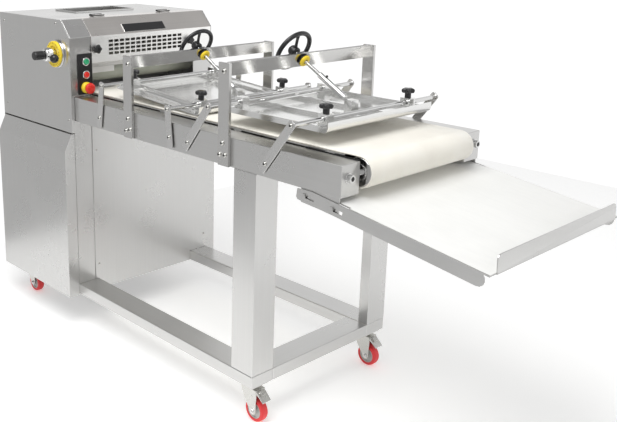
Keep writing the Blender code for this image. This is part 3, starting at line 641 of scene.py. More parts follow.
def buildBelt():
    low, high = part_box("belt")
    outer = (high.z - low.z) / 2
    thick = outer - (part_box("drum_front")[1].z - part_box("drum_front")[0].z) / 2 - beltSpec["clear"]
    path = halfTurn(jointAt("drum_front_spin"), outer, math.pi / 2)
    path += halfTurn(jointAt("drum_rear_spin"), outer, -math.pi / 2)
    edge = beltSpec["edgeRound"]
    section = [(low.y, thick - edge), (low.y, edge), (low.y + edge, 0.0)]
    section += [(low.y + (high.y - low.y) * share, 0.0) for share in beltSpec["across"]]
    section += [(high.y - edge, 0.0), (high.y, edge), (high.y, thick - edge), (high.y - edge, thick),
                (low.y + edge, thick)]
    form = bmesh.new()
    uv = form.loops.layers.uv.new("UVMap")
    rings, lengths, travelled, previous = [], [], 0.0, path[0][0]
    for point, out in path:
        travelled += (point - previous).length
        previous = point
        lengths.append(travelled)
        rings.append([form.verts.new((point.x - out.x * depth, y, point.z - out.z * depth))
                      for y, depth in section])
    lengths.append(travelled + (path[0][0] - previous).length)
    count = len(section)
    for k in range(len(rings)):
        following = (k + 1) % len(rings)
        start, end = lengths[k], lengths[k + 1]
        for j in range(count):
            n = (j + 1) % count
            patch = form.faces.new((rings[k][j], rings[k][n], rings[following][n], rings[following][j]))
            first, second = section[j][0] - section[j][1], section[n][0] - section[n][1]
            corners = ((start, first), (start, second), (end, second), (end, first))
            for loop, where in zip(patch.loops, corners):
                loop[uv].uv = where
    piece = makePiece("conveyorBelt", form, beltFelt(), bodyOf("belt"), angle=50.0)
    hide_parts("belt")


drumSpec = {"inset": 0.032, "end": 0.0085, "shaft": 0.0100, "dish": 0.0030, "faces": 72}


def buildDrums():
    for node in ("drum_front", "drum_rear"):
        low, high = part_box(node)
        centre = jointAt(node + "_spin")
        radius = (high.z - low.z) / 2
        start, end, dish = low.y + drumSpec["inset"], high.y - drumSpec["inset"], drumSpec["dish"]
        shaft, tip = drumSpec["shaft"], drumSpec["end"]
        profile = [(low.y, tip), (low.y + 0.0015, shaft), (start, shaft), (start + 0.0002, radius * 0.52),
                   (start + dish, radius * 0.56), (start + dish, radius * 0.86), (start, radius * 0.90),
                   (start, radius - 0.002), (start + 0.002, radius), (end - 0.002, radius),
                   (end, radius - 0.002), (end, radius * 0.90), (end - dish, radius * 0.86),
                   (end - dish, radius * 0.56), (end - 0.0002, radius * 0.52), (end, shaft),
                   (high.y - 0.0015, shaft), (high.y, tip)]
        piece = turnedPiece(node + "Turned", profile, (centre.x, 0, centre.z), (0, 1, 0), drumSpec["faces"],
                            brushedSteel("polished", "Y"), node, slotOf(node), angle=28.0)
        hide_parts(node)


rollerSpec = {"inset": 0.026, "chamfer": 0.004, "bore": 0.012, "shaft": 0.0105, "end": 0.0090, "faces": 72}


def buildRollers():
    for node in ("roller_front", "roller_rear"):
        low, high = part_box(node)
        centre = jointAt(node + "_spin")
        at = (centre.x, 0, centre.z)
        radius = (high.z - low.z) / 2
        start, end, bore = low.y + rollerSpec["inset"], high.y - rollerSpec["inset"], rollerSpec["bore"]
        small = radius - rollerSpec["chamfer"]
        sleeve = roundedProfile([(start, small), (start, radius), (end, radius), (end, small)], 0.002)
        piece = turnedPiece(node + "Sleeve", [(start, bore)] + sleeve + [(end, bore)], at, (0, 1, 0),
                            rollerSpec["faces"], mouldedPlastic("rollerGreen"), node, slotOf(node),
                            angle=30.0)
        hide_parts(node)
        shaft, tip = rollerSpec["shaft"], rollerSpec["end"]
        profile = [(low.y, tip), (low.y + 0.001, shaft), (high.y - 0.001, shaft), (high.y, tip)]
        turnedPiece(node + "Shaft", profile, at, (0, 1, 0), 32, brushedSteel("polished", "Y"), node,
                    slotOf(node))


sideSpec = {"stripThick": 0.0012, "stripRise": 0.0030, "stripDrop": 0.0180, "stripLong": 0.200,
            "frontInset": 0.018, "boltOut": 0.0135, "boltIn": 0.0280, "boltHeight": 0.8405,
            "washer": [(-0.0010, 0.0143), (0.0026, 0.0143), (0.0031, 0.0136)],
            "head": [(0.0026, 0.0112), (0.0136, 0.0112), (0.0142, 0.0104)],
            "socket": [(0.0120, 0.0068), (0.0145, 0.0068)]}


# painted shade: black strips standing in the gaps beside the belt, where they fall into shade; and the socket
# bolts in the front ends
def buildSideTrims():
    for node, side in (("conveyor_side_near", -1), ("conveyor_side_far", 1)):
        low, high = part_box(node)
        inner = high.y if side < 0 else low.y
        top = high.z
        y0, y1 = sorted((inner, inner - side * sideSpec["stripThick"]))
        # painted shade: a black strip standing in the shaded gap beside the belt
        form = bmesh.new()
        addBlock(form, (high.x - sideSpec["stripLong"], y0, top - sideSpec["stripDrop"]),
                 (high.x - sideSpec["frontInset"], y1, top + sideSpec["stripRise"]))
        makePiece(node + "Seal", form, mouldedPlastic("paintedShadeBlack"), bodyOf(node))
        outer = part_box("leg_near")[0].y if side < 0 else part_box("leg_far")[1].y
        boltY = outer - side * sideSpec["boltIn"]
        centre = Vector((high.x - sideSpec["boltOut"], boltY, sideSpec["boltHeight"]))
        form = revolve(sideSpec["washer"], centre, (1, 0, 0), 40)
        revolve(sideSpec["head"], centre, (1, 0, 0), 40, form)
        makePiece(node + "Bolt", form, brushedSteel("polished", "X"), bodyOf(node))
        # painted shade: a black hexagon standing in the bolt head, where its socket recess falls into shade
        turnedPiece(node + "Socket", sideSpec["socket"], centre, (1, 0, 0), 6, mouldedPlastic("paintedShadeBlack"),
                    bodyOf(node), "black_plastic")


buildBelt()
buildDrums()
buildRollers()
buildSideTrims()
softened("scraper", mouldedPlastic("scraperWhite"), 0.0008)
print("belt, drums and rollers done")


# the gap dial and its lever

dialSpec = {"ticks": 24, "tickInner": 0.036, "tickOuter": 0.0425, "tickWide": 0.0012, "tickThick": 0.0006,
            "tickLift": 0.0176,
            "face": [(0.0087, 0.0200), (0.0087, 0.0462), (0.0160, 0.0458), (0.0175, 0.0430), (0.0175, 0.0300),
                     (0.0140, 0.0270), (0.0140, 0.0200)]}


# radial marks: thin bars set round a circle
def markTree():
    inputs = (("Start", "Geometry"), ("Count", "Int"), ("Radius", "Float"), ("Length", "Float"),
              ("Width", "Float"), ("Finish", "Material"))
    tree, entry, leave = geometryTree("dialMarks", inputs, "Marks")
    ring = addNode(tree, "GeometryNodeMeshCircle", fill_type="NONE")
    bar = addNode(tree, "GeometryNodeMeshCube")
    size = setInputs(addNode(tree, "ShaderNodeCombineXYZ"), Z=dialSpec["tickThick"])
    where = addNode(tree, "GeometryNodeInputPosition")
    align = addNode(tree, "FunctionNodeAlignRotationToVector", axis="X")
    place = addNode(tree, "GeometryNodeInstanceOnPoints")
    real = addNode(tree, "GeometryNodeRealizeInstances")
    paint = addNode(tree, "GeometryNodeSetMaterial")
    joinUp(tree, ((entry, "Count", ring, "Vertices"), (entry, "Radius", ring, "Radius"),
                  (entry, "Length", size, "X"), (entry, "Width", size, "Y"), (size, "Vector", bar, "Size"),
                  (ring, "Mesh", place, "Points"), (bar, "Mesh", place, "Instance"),
                  (where, "Position", align, "Vector"), (align, "Rotation", place, "Rotation"),
                  (place, "Instances", real, "Geometry"), (real, "Geometry", paint, "Geometry"),
                  (entry, "Finish", paint, "Material"), (paint, "Geometry", leave, "Marks")))
    return tree


def buildDial():
    low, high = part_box("gap_dial")
    centre = Vector(((low.x + high.x) / 2, high.y, (low.z + high.z) / 2))
    radius = (high.x - low.x) / 2
    out = Vector((0, -1, 0))
    body = bodyOf("gap_dial")
    rim = [(0.0, radius - 0.001), (0.001, radius), (0.007, radius), (0.0085, radius - 0.003), (0.0085, 0.020)]
    piece = turnedPiece("dialBack", [(0.0, 0.0190)] + roundedProfile(rim, 0.0012), centre, out, 72,
                        brushedSteel("polished", "Z"), body, slotOf("gap_dial"), closed=False)
    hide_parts("gap_dial")
    turnedPiece("dialFace", dialSpec["face"], centre, out, 72, mouldedPlastic("bushYellow"), body,
                "bush_yellow", soft=0.0010, closed=False)
    inner, outer = dialSpec["tickInner"], dialSpec["tickOuter"]
    marks = runTree("dialMarks", markTree(), bpy.data.meshes.new("dialMarks"), body, "black_plastic",
                    **{"Count": dialSpec["ticks"], "Radius": (inner + outer) / 2, "Length": outer - inner,
                       "Width": dialSpec["tickWide"], "Finish": mouldedPlastic("blackKnob")})
    turn = Matrix.Rotation(math.radians(90), 4, "X")
    marks.data.transform(Matrix.Translation(centre + out * dialSpec["tickLift"]) @ turn)


leverSpec = {"hub": [(0.0, 0.018), (0.010, 0.018), (0.0102, 0.025), (0.026, 0.025), (0.028, 0.0235),
                     (0.040, 0.0235), (0.044, 0.019), (0.044, 0.013)],
             "grip": [(0.0440, 0.0125), (0.0480, 0.0150), (0.0520, 0.0155), (0.0535, 0.0155),
                      (0.0660, 0.0155), (0.0795, 0.0155), (0.0815, 0.0155), (0.0845, 0.0135),
                      (0.0850, 0.0100)],
             "ballRadius": 0.0155, "ballOut": 0.036, "ballDrop": 0.007, "armRadius": 0.0055, "stand": 0.0105,
             "flutes": 14, "fluteDepth": 0.045, "fluteFrom": 0.053, "fluteTo": 0.080}


# shallow flutes along the middle of the grip
def gripFlutes(angle, along):
    inside = leverSpec["fluteFrom"] < along < leverSpec["fluteTo"]
    wave = 0.5 + 0.5 * math.cos(leverSpec["flutes"] * angle)
    return 1.0 - (leverSpec["fluteDepth"] * wave if inside else 0.0)


def buildLever():
    node = "gap_lever"
    pivot = jointAt("gap_lever_turn")
    start = pivot + Vector((0, -leverSpec["stand"], 0))
    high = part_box(node)[1]
    out = Vector((0, -1, 0))
    hub = [(0.0, 0.010)] + roundedProfile(leverSpec["hub"], 0.0018)
    piece = turnedPiece("leverHub", hub, start, out, 64, brushedSteel("board", "Y"), node, slotOf(node))
    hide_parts(node)
    turnedPiece("leverGrip", leverSpec["grip"], start, out, 84, mouldedPlastic("blackKnob"), node,
                "black_plastic", wobble=gripFlutes)
    ballRadius, ballOut = leverSpec["ballRadius"], leverSpec["ballOut"]
    ballAt = Vector((high.x - ballRadius, start.y - ballOut, pivot.z - leverSpec["ballDrop"]))
    armFrom = start + out * ballOut
    reach = ballAt - armFrom
    arm = [(0.0, leverSpec["armRadius"]), (reach.length - 0.012, leverSpec["armRadius"])]
    turnedPiece("leverArm", arm, armFrom, reach, 24, brushedSteel("polished", "X"), node, slotOf(node))
    ball = bmesh.new()
    bmesh.ops.create_uvsphere(ball, u_segments=36, v_segments=20, radius=ballRadius)
    bmesh.ops.translate(ball, vec=ballAt, verts=ball.verts)
    makePiece("leverBall", ball, mouldedPlastic("blackWheel"), node)


# control plate: black plate, bezels, two buttons and the emergency stop

controlSpec = {"plateThick": 0.003,
               "buttons": (("button_start", "buttonGreen"), ("button_stop", "buttonRed")),
               "bezel": [(0.0, 0.0150), (0.0050, 0.0150), (0.0065, 0.0125), (0.0062, 0.0106), (0.0, 0.0106)],
               "collar": [(0.0, 0.0200), (0.0080, 0.0200), (0.0100, 0.0175), (0.0140, 0.0160),
                          (0.0140, 0.0092), (0.0, 0.0092)]}


def buildControls():
    low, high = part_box("control_plate")
    body = bodyOf("control_plate")
    facing = Vector((1, 0, 0))
    thick = controlSpec["plateThick"]
    middle = Vector((low.x + thick / 2, (low.y + high.y) / 2, (low.z + high.z) / 2))
    form = bmesh.new()
    outline = roundedBox((high.z - low.z) / 2, (high.y - low.y) / 2, 0.003)
    addPlate(form, outline, middle, (0, 0, 1), (0, 1, 0), facing, thick)
    piece = makePiece("controlPlate", form, mouldedPlastic("blackPanel"), body,
                      0.0005)
    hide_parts("control_plate")
    for node, finish in controlSpec["buttons"]:
        a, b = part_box(node)
        centre = Vector((low.x + thick, (a.y + b.y) / 2, (a.z + b.z) / 2))
        turnedPiece(node + "Bezel", controlSpec["bezel"], centre, facing, 56, brushedSteel("polished", "Z"),
                    body, "polished_steel", soft=0.0008, closed=False)
        tall = b.x - a.x
        cap = [(0.0, 0.0100), (tall - 0.0012, 0.0100), (tall, 0.0086), (tall - 0.0010, 0.0060),
               (tall - 0.0012, 0.0010)]
        piece = turnedPiece(node + "Cap", cap, (a.x, centre.y, centre.z), facing, 48, mouldedPlastic(finish),
                            node, slotOf(node), soft=0.0006)
        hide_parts(node)
    node = "stop_mushroom"
    a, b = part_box(node)
    centre = Vector((low.x + thick, (a.y + b.y) / 2, (a.z + b.z) / 2))
    turnedPiece("stopCollar", controlSpec["collar"], centre, facing, 64, mouldedPlastic("bushYellow"), body,
                "bush_yellow", soft=0.0010, closed=False)
    depth = b.x - a.x
    head = [(0.0, 0.0080), (depth - 0.0140, 0.0080), (depth - 0.0138, 0.0180), (depth - 0.0095, 0.0200),
            (depth - 0.0040, 0.0186), (depth - 0.0010, 0.0130), (depth, 0.0060)]
    piece = turnedPiece("stopHead", head, (a.x, centre.y, centre.z), facing, 64, mouldedPlastic("buttonRed"),
                        node, slotOf(node), soft=0.0014, angle=40)
    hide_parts(node)


buildDial()
buildLever()
buildControls()
print("dial and controls done")


# head trims: bare badge plate, black hinges

headTrim = {"badgeLong": 0.190, "badgeHigh": 0.034, "badgeThick": 0.0016, "badgeY": 0.007, "badgeDrop": 0.024,
            "hingeY": (-0.146, 0.164), "hingeLong": 0.052, "leafHalf": 0.0125, "leafThick": 0.0042,
            "pin": 0.0036, "screwApart": 0.014, "screw": 0.0028}


# the chamfer's lower and upper edge and its outward normal, read off the guard's own mesh
def guardSlope():
    mesh = frame["nodes"]["front_guard"].data
    best = None
    for polygon in mesh.polygons:
        n = polygon.normal
        if abs(n.y) < 0.01 and n.x > 0.3 and n.z > 0.3:
            if best is None or polygon.area > best.area:
                best = polygon
    corners = [mesh.vertices[i].co for i in best.vertices]
    lower = min(corners, key=lambda p: p.z)
    upper = max(corners, key=lambda p: p.z)
    return Vector((lower.x, 0, lower.z)), Vector((upper.x, 0, upper.z)), best.normal.copy()


def buildHeadTrim():
    lower, upper, normal = guardSlope()
    up = (upper - lower).normalized()
    middle = lower + up * headTrim["badgeDrop"] + Vector((0, headTrim["badgeY"], 0))
    across = Vector((0, 1, 0))
    thick = headTrim["badgeThick"]
    for name, grow, lift, finish in (("badgeRim", 0.0012, 0.0004, brushedSteel("polished", "Y")),
                                     ("badgePlate", 0.0, 0.0010, mouldedPlastic("blackPanel"))):
        form = bmesh.new()
        outline = roundedBox(headTrim["badgeLong"] / 2 + grow, headTrim["badgeHigh"] / 2 + grow, 0.002)
        addPlate(form, outline, middle + normal * (lift + thick / 2), across, up, normal, thick)
        makePiece(name, form, finish, "front_guard", 0.0004)
    seam = jointAt("guard_hinge")
    half, pin = headTrim["hingeLong"] / 2, headTrim["pin"]
    for k, y in enumerate(headTrim["hingeY"]):
        form = bmesh.new()
        leafAt = Vector((seam.x + 0.0150, y, seam.z + 0.0010))
        leaf = roundedBox(headTrim["leafHalf"], half, 0.004)
        addPlate(form, leaf, leafAt, (1, 0, 0), (0, 1, 0), (0, 0, 1), headTrim["leafThick"])
        barrel = roundedProfile([(-half, 0.002), (-half, pin), (half, pin), (half, 0.002)], 0.001)
        revolve(barrel, (seam.x + 0.004, y, seam.z + 0.0022), (0, 1, 0), 24, form)
        makePiece(f"hinge{k + 1}Leaf", form, mouldedPlastic("blackKnob"), "front_guard",
                  0.0008)
        apart = headTrim["screwApart"]
        spots = [(Vector((seam.x + 0.019, y + side * apart, seam.z + 0.0031)), Vector((0, 0, 1)))
                 for side in (-1, 1)]
        fastenerRow(f"hinge{k + 1}Screws", spots, "panHead", headTrim["screw"], brushedSteel("dark", "X"),
                    "front_guard", "black_plastic", k + 3)


buildHeadTrim()
print("head trim done")


# star knobs: five soft lobes on a stud


def lobes(count, depth):
    def shape(angle, along):
        return 1.0 - depth + depth * math.cos(count * angle)
    return shape


knobSpec = {"lobes": 5, "sides": 80,
            "board": {"height": 0.014, "neck": 0.014, "neckRadius": 0.0095, "depth": 0.30},
            "guard": {"height": 0.016, "neck": 0.005, "neckRadius": 0.0075, "depth": 0.20}}


def buildStarKnob(node, family):
    at, axis = jointAt(node + "_turn"), jointAxis(node + "_turn")
    low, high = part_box(node)
    across = (high.y - low.y) / 2
    spec = knobSpec[family]
    neck, tip = spec["neck"], spec["neck"] + spec["height"]
    profile = [(neck, across * 0.45), (neck, across * 0.86), (neck + spec["height"] * 0.35, across),
               (neck + spec["height"] * 0.7, across), (tip, across * 0.78), (tip - 0.0006, across * 0.30)]
    shape = lobes(knobSpec["lobes"], spec["depth"] / 2)
    form = revolve(roundedProfile(profile, 0.0035, 5), at, axis, knobSpec["sides"], wobble=shape)
    piece = makePiece(node + "Star", form, mouldedPlastic("blackKnob"), node, angle=45)
    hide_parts(node)
    radius = spec["neckRadius"]
    collar = [(0.0, radius * 0.85), (0.0, radius), (neck + 0.0006, radius), (neck + 0.0006, radius * 0.6)]
    turnedPiece(node + "Neck", collar, at, axis, 36, mouldedPlastic("blackKnob"), node, slotOf(node),
                soft=0.0006)
    cap = [(tip - 0.0007, 0.0052), (tip, 0.0050), (tip, 0.0010)]
    turnedPiece(node + "Cap", cap, at, axis, 24, mouldedPlastic("blackWheel"), node, slotOf(node),
                soft=0.0004)


for number in range(1, 6):
    buildStarKnob(f"board_knob_{number}", "board")
for side in ("near", "far"):
    buildStarKnob(f"guard_knob_{side}", "guard")
print("star knobs done")


# screws: handwheel, spindle with its thread and sleeve, yellow bush

wheelSpec = {"rimSides": 96, "tubeSides": 20, "tube": 0.0075, "flat": 0.92, "spokes": 3, "firstSpoke": 100.0,
             "spokeSteps": 8, "spokeSides": 12, "spokeFrom": 0.010, "spokeLift": 0.0060, "spokeDeep": 0.0046,
             "spokeWide": 0.0072, "spokeWaist": 0.0024,
             "hub": [(-0.0120, 0.004), (-0.0120, 0.0120), (-0.0060, 0.0160), (0.0120, 0.0170),
                     (0.0160, 0.0140), (0.0160, 0.0070)],
             "nut": [(-0.0165, 0.0062), (-0.0118, 0.0062)]}
threadSpec = {"pitch": 0.0030, "depth": 0.0005, "stepsPerTurn": 10, "sides": 24, "thin": 0.0060,
              "thick": 0.0095, "sleeveShare": 0.38, "pinShare": 0.22, "plainStart": 0.012, "plainEnd": 0.002}
bushSpec = {"back": 0.0085,
            "ring": [(0.0004, 0.0076), (0.0004, 0.0170), (0.0034, 0.0195), (0.0050, 0.0190),
                     (0.0050, 0.0076)],
            "cap": [(0.0052, 0.0076), (0.0052, 0.0182), (0.0095, 0.0192), (0.0125, 0.0170), (0.0138, 0.0130),
                    (0.0138, 0.0076)]}


def axisFrame(axis):
    u = Vector((0, 1, 0))
    return u, axis.cross(u)


def wheelRim(centre, axis, ringRadius):
    u, v = axisFrame(axis)
    tube, sides = wheelSpec["tube"], wheelSpec["tubeSides"]
    form = bmesh.new()
    rings = []
    for k in range(wheelSpec["rimSides"]):
        angle = 2 * math.pi * k / wheelSpec["rimSides"]
        out = u * math.cos(angle) + v * math.sin(angle)
        ring = []
        for j in range(sides):
            roll = 2 * math.pi * j / sides
            place = centre + out * (ringRadius + tube * math.cos(roll))
            ring.append(form.verts.new(place + axis * (tube * wheelSpec["flat"] * math.sin(roll))))
        rings.append(ring)
    for k in range(len(rings)):
        first, second = rings[k], rings[(k + 1) % len(rings)]
        for j in range(sides):
            n = (j + 1) % sides
            form.faces.new((first[j], second[j], second[n], first[n]))
    return form


def wheelSpokes(centre, axis, ringRadius):
    u, v = axisFrame(axis)
    steps, sides = wheelSpec["spokeSteps"], wheelSpec["spokeSides"]
    start, deep = wheelSpec["spokeFrom"], wheelSpec["spokeDeep"]
    form = bmesh.new()
    for k in range(wheelSpec["spokes"]):
        angle = math.radians(wheelSpec["firstSpoke"] + 120 * k)
        out = u * math.cos(angle) + v * math.sin(angle)
        side = axis.cross(out)
        previous = None
        for step in range(steps + 1):
            t = step / steps
            reach = start + (ringRadius - start) * t
            lift = wheelSpec["spokeLift"] * (1 - t) ** 1.6
            wide = wheelSpec["spokeWide"] - wheelSpec["spokeWaist"] * math.sin(math.pi * t)
            ring = []
            for j in range(sides):
                roll = 2 * math.pi * j / sides
                place = centre + out * reach + axis * (lift + deep * math.sin(roll))
                ring.append(form.verts.new(place + side * (wide * math.cos(roll))))
            if previous:
                for j in range(sides):
                    n = (j + 1) % sides
                    form.faces.new((previous[j], previous[n], ring[n], ring[j]))
            else:
                form.faces.new(list(reversed(ring)))
            previous = ring
        form.faces.new(previous)
    return form


def buildHandwheel(number):
    node = f"handwheel_{number}"
    centre, axis = jointAt(node + "_turn"), jointAxis(node + "_turn")
    low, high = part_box(node)
    ringRadius = (high.y - low.y) / 2 - wheelSpec["tube"]
    black = mouldedPlastic("blackWheel")
    piece = makePiece(node + "Rim", wheelRim(centre, axis, ringRadius), black, node, angle=60)
    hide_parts(node)
    turnedPiece(node + "Hub", wheelSpec["hub"], centre, axis, 48, black, node, slotOf(node), soft=0.002)
    makePiece(node + "Spokes", wheelSpokes(centre, axis, ringRadius), black, node, angle=60)
    nut = revolve(wheelSpec["nut"], centre, axis, 6)
    makePiece(node + "Nut", nut, brushedSteel("plated", "X"), node, 0.0005)


# rings of a fine thread between two distances along the axis, plain near both ends
def threadForm(centre, axis, start, end):
    u, v = axisFrame(axis)
    pitch, sides = threadSpec["pitch"], threadSpec["sides"]
    form = bmesh.new()
    rows = []
    steps = int((end - start) / pitch * threadSpec["stepsPerTurn"])
    for step in range(steps + 1):
        along = start + (end - start) * step / steps
        cutHere = start + threadSpec["plainStart"] < along < end - threadSpec["plainEnd"]
        ring = []
        for k in range(sides):
            angle = 2 * math.pi * k / sides
            phase = (along / pitch - angle / (2 * math.pi)) % 1.0
            depth = threadSpec["depth"] * (1 - abs(2 * phase - 1)) if cutHere else 0.0
            reach = threadSpec["thin"] - depth
            place = centre + axis * along + u * (reach * math.cos(angle))
            ring.append(form.verts.new(place + v * (reach * math.sin(angle))))
        rows.append(ring)
    for first, second in zip(rows, rows[1:]):
        for k in range(sides):
            j = (k + 1) % sides
            form.faces.new((first[k], first[j], second[j], second[k]))
    form.faces.new(list(reversed(rows[0])))
    form.faces.new(rows[-1])
    return form


def buildSpindle(number):
    node = f"screw_spindle_{number}"
    axis = jointAxis(f"screw_travel_{number}")
    centre = jointAt(f"screw_tilt_{number}")
    low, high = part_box(node)
    thin, thick = threadSpec["thin"], threadSpec["thick"]
    length = (high.x - low.x - (thin + thick) * abs(axis.z)) / axis.x
    back = (centre.x - low.x - thin * abs(axis.z)) / axis.x
    far = length - back
    sleeveFrom = far * threadSpec["sleeveShare"]
    steel = brushedSteel("polished", "X")
    form = threadForm(centre, axis, -back, sleeveFrom)
    piece = makePiece(node + "Thread", form, steel, node, angle=55)
    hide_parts(node)
    sleeve = [(sleeveFrom, 0.0060), (sleeveFrom, thick), (far, thick), (far, 0.0050)]
    turnedPiece(node + "Sleeve", sleeve, centre, axis, 40, steel, node, slotOf(node), soft=0.0010)
    pinAt = centre + axis * (sleeveFrom + (far - sleeveFrom) * threadSpec["pinShare"])
    v = axisFrame(axis)[1]
    pin = [(thick - 0.001, 0.0034), (thick + 0.0052, 0.0034), (thick + 0.0060, 0.0020)]
    turnedPiece(node + "Pin", pin, pinAt, v if v.z > 0 else -v, 20, mouldedPlastic("blackKnob"), node,
                "black_plastic", soft=0.0006)


def buildBush(number):
    node = f"screw_bush_{number}"
    axis = jointAxis(f"screw_travel_{number}")
    start = jointAt(f"screw_tilt_{number}") - axis * bushSpec["back"]
    turnedPiece(node + "Ring", bushSpec["ring"], start, axis, 56, mouldedPlastic("blackKnob"), node,
                "black_plastic", soft=0.0010, closed=False)
    piece = turnedPiece(node + "Cap", bushSpec["cap"], start, axis, 56, mouldedPlastic("bushYellow"), node,
                        slotOf(node), soft=0.0016, closed=False)
    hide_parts(node)


for number in (1, 2):
    buildHandwheel(number)
    buildSpindle(number)
    buildBush(number)
print("screws and handwheels done")


# swinging links: round-ended bars on cross rods

linkSpec = {"a": ("link_a_swing", "board_1_level", -0.034),
            "b": ("link_b_swing", "board_knob_2_turn", -0.034),
            "c": ("link_c_swing", "board_2_level", -0.026),
            "d": ("link_d_swing", "board_knob_4_turn", -0.026)}
armSpec = {"half": 0.013, "corner": 0.0075, "thick": 0.0045, "inset": 0.004, "rod": 0.007, "knobLift": 0.0149,
           "sink": 0.0002, "screw": 0.0062}


def buildLink(letter):
    node = "link_" + letter
    swing, top, tail = linkSpec[letter]
    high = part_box(node)[1]
    pivot, rodAt = jointAt(swing), jointAt(top)
    if "knob" in top:
        rodAt = rodAt - jointAxis(top) * armSpec["knobLift"]
    pivot, rodAt = Vector((pivot.x, 0, pivot.z)), Vector((rodAt.x, 0, rodAt.z))
    along = (rodAt - pivot).normalized()
    across = Vector((along.z, 0, -along.x))
    thick = armSpec["thick"]
    outline = armOutline((rodAt - pivot).length, armSpec["half"], tail, armSpec["corner"])
    form = bmesh.new()
    armY = high.y - armSpec["inset"] - thick / 2
    for side in (-1, 1):
        addPlate(form, outline, pivot + Vector((0, side * armY, 0)), along, across, (0, 1, 0), thick)
    piece = makePiece(node + "Arms", form, brushedSteel("bright", "Z"), node, 0.0007)
    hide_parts(node)
    reach = armY - thick / 2 - armSpec["sink"]
    rod = [(-reach, 0.004), (-reach, armSpec["rod"]), (reach, armSpec["rod"]), (reach, 0.004)]
    turnedPiece(node + "Rod", rod, rodAt, (0, 1, 0), 40, brushedSteel("polished", "Y"), node, slotOf(node),
                soft=0.0008)
    face = armY + thick / 2 - armSpec["sink"]
    spots = [(place + Vector((0, side * face, 0)), Vector((0, side, 0)))
             for side in (-1, 1) for place in (pivot, rodAt)]
    screwPair(node + "Screws", spots, "buttonHead", armSpec["screw"], node, slotOf(node), ord(letter))


for letter in linkSpec:
    buildLink(letter)
print("links done")


# catch tray's liner

linerSpec = {"thick": 0.0012, "edge": 0.0040, "backGap": 0.022, "narrow": 0.3075, "tailLong": 0.078,
             "narrowLong": 0.096, "frontGap": 0.0035, "lift": 0.0002}


# off-white sheet lying in the pan, following its slope, narrower where it passes the fixings
def buildLiner():
    low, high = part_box("catch_tray")
    slope = jointAxis("tray_shift")
    up = Vector((-slope.z, 0, slope.x))
    mesh = frame["nodes"]["catch_tray"].data
    floorHeight = max(v.co.dot(up) for v in mesh.vertices if v.co.x < low.x + (high.x - low.x) * 0.5)
    alongs = [v.co.dot(slope) for v in mesh.vertices]
    back = min(alongs) + linerSpec["tailLong"]
    start, wideFrom = back + linerSpec["backGap"], back + linerSpec["narrowLong"]
    end = max(alongs) - linerSpec["frontGap"]
    inner, narrow, thick = (high.y - low.y) / 2 - linerSpec["edge"], linerSpec["narrow"], linerSpec["thick"]
    outline = [(start, -narrow), (wideFrom, -narrow), (wideFrom, -inner), (end, -inner), (end, inner),
               (wideFrom, inner), (wideFrom, narrow), (start, narrow)]
    form = bmesh.new()
    addPlate(form, outline, up * (floorHeight + thick / 2 + linerSpec["lift"]), slope, (0, 1, 0), up, thick)
    makePiece("trayLiner", form, linerPlastic(), "catch_tray", 0.0005)


buildLiner()


# casters: plate, ball race, fork, brake pedal, wheel with its hub

casterSpec = {"corners": ("near_front", "far_front", "near_rear", "far_rear"), "cheekThick": 0.0030,
              "cheekY": 0.0180, "treadHalf": 0.0130, "hubRadius": 0.0270, "plate": (0.040, 0.036, 0.006),
              "plateThick": 0.0034, "bolt": (0.031, 0.028), "crownDrop": 0.0178,
              "race": [(-0.0165, 0.012), (-0.0165, 0.0215), (-0.0110, 0.0255), (-0.0100, 0.0225),
                       (-0.0085, 0.0275), (-0.0040, 0.0290), (-0.0036, 0.012)],
              "pedal": [(0.004, 0.0006), (0.016, -0.004), (0.030, -0.016), (0.042, -0.0275), (0.042, -0.0300),
                        (0.028, -0.0190), (0.014, -0.0100), (0.004, -0.0060)],
              "pedalWide": 0.0360, "pad": (0.0080, 0.0095, 0.003), "padAt": (0.023, -0.0075)}


# the brake pedal and its raised pad
def buildPedal(fork, axle, pinY, forward, crownZ, zinc):
    pedal = bmesh.new()
    path = [(axle.x + forward * a, crownZ + b) for a, b in casterSpec["pedal"]]
    addPlate(pedal, path, (0, pinY, 0), (1, 0, 0), (0, 0, 1), (0, 1, 0), casterSpec["pedalWide"])
    makePiece(fork + "Pedal", pedal, zinc, fork, 0.0016)
    pad = bmesh.new()
    ahead, drop = casterSpec["padAt"]
    along = Vector((forward * 0.78, 0, -0.62)).normalized()
    normal = Vector((forward * 0.62, 0, 0.78)).normalized()
    outline = roundedBox(*casterSpec["pad"])
    addPlate(pad, outline, (axle.x + forward * ahead, pinY, crownZ + drop), along, (0, 1, 0), normal, 0.0050)
    makePiece(fork + "PedalPad", pad, zinc, fork, 0.0014)


def buildWheel(wheel, axle):
    radius = (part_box(wheel)[1].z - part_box(wheel)[0].z) / 2
    half, bore = casterSpec["treadHalf"], casterSpec["hubRadius"]
    tread = [(-half, bore), (-half, radius - 0.002), (-half + 0.005, radius), (half - 0.005, radius),
             (half, radius - 0.002), (half, bore)]
    piece = turnedPiece(wheel + "Tread", tread, axle, (0, 1, 0), 72, mouldedPlastic("wheelRed"), wheel,
                        slotOf(wheel), soft=0.0030, closed=False)
    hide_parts(wheel)
    rim = half - 0.0012
    web = rim - 0.004
    right = [(rim, 0.0268), (rim, 0.0240), (web, 0.0220), (web, 0.0110), (rim, 0.0100), (rim, 0.0058)]
    hub = [(-a, b) for a, b in reversed(right)] + right
    turnedPiece(wheel + "Hub", hub, axle, (0, 1, 0), 56, mouldedPlastic("hubGrey"), wheel, slotOf(wheel),
                soft=0.0008, closed=False)


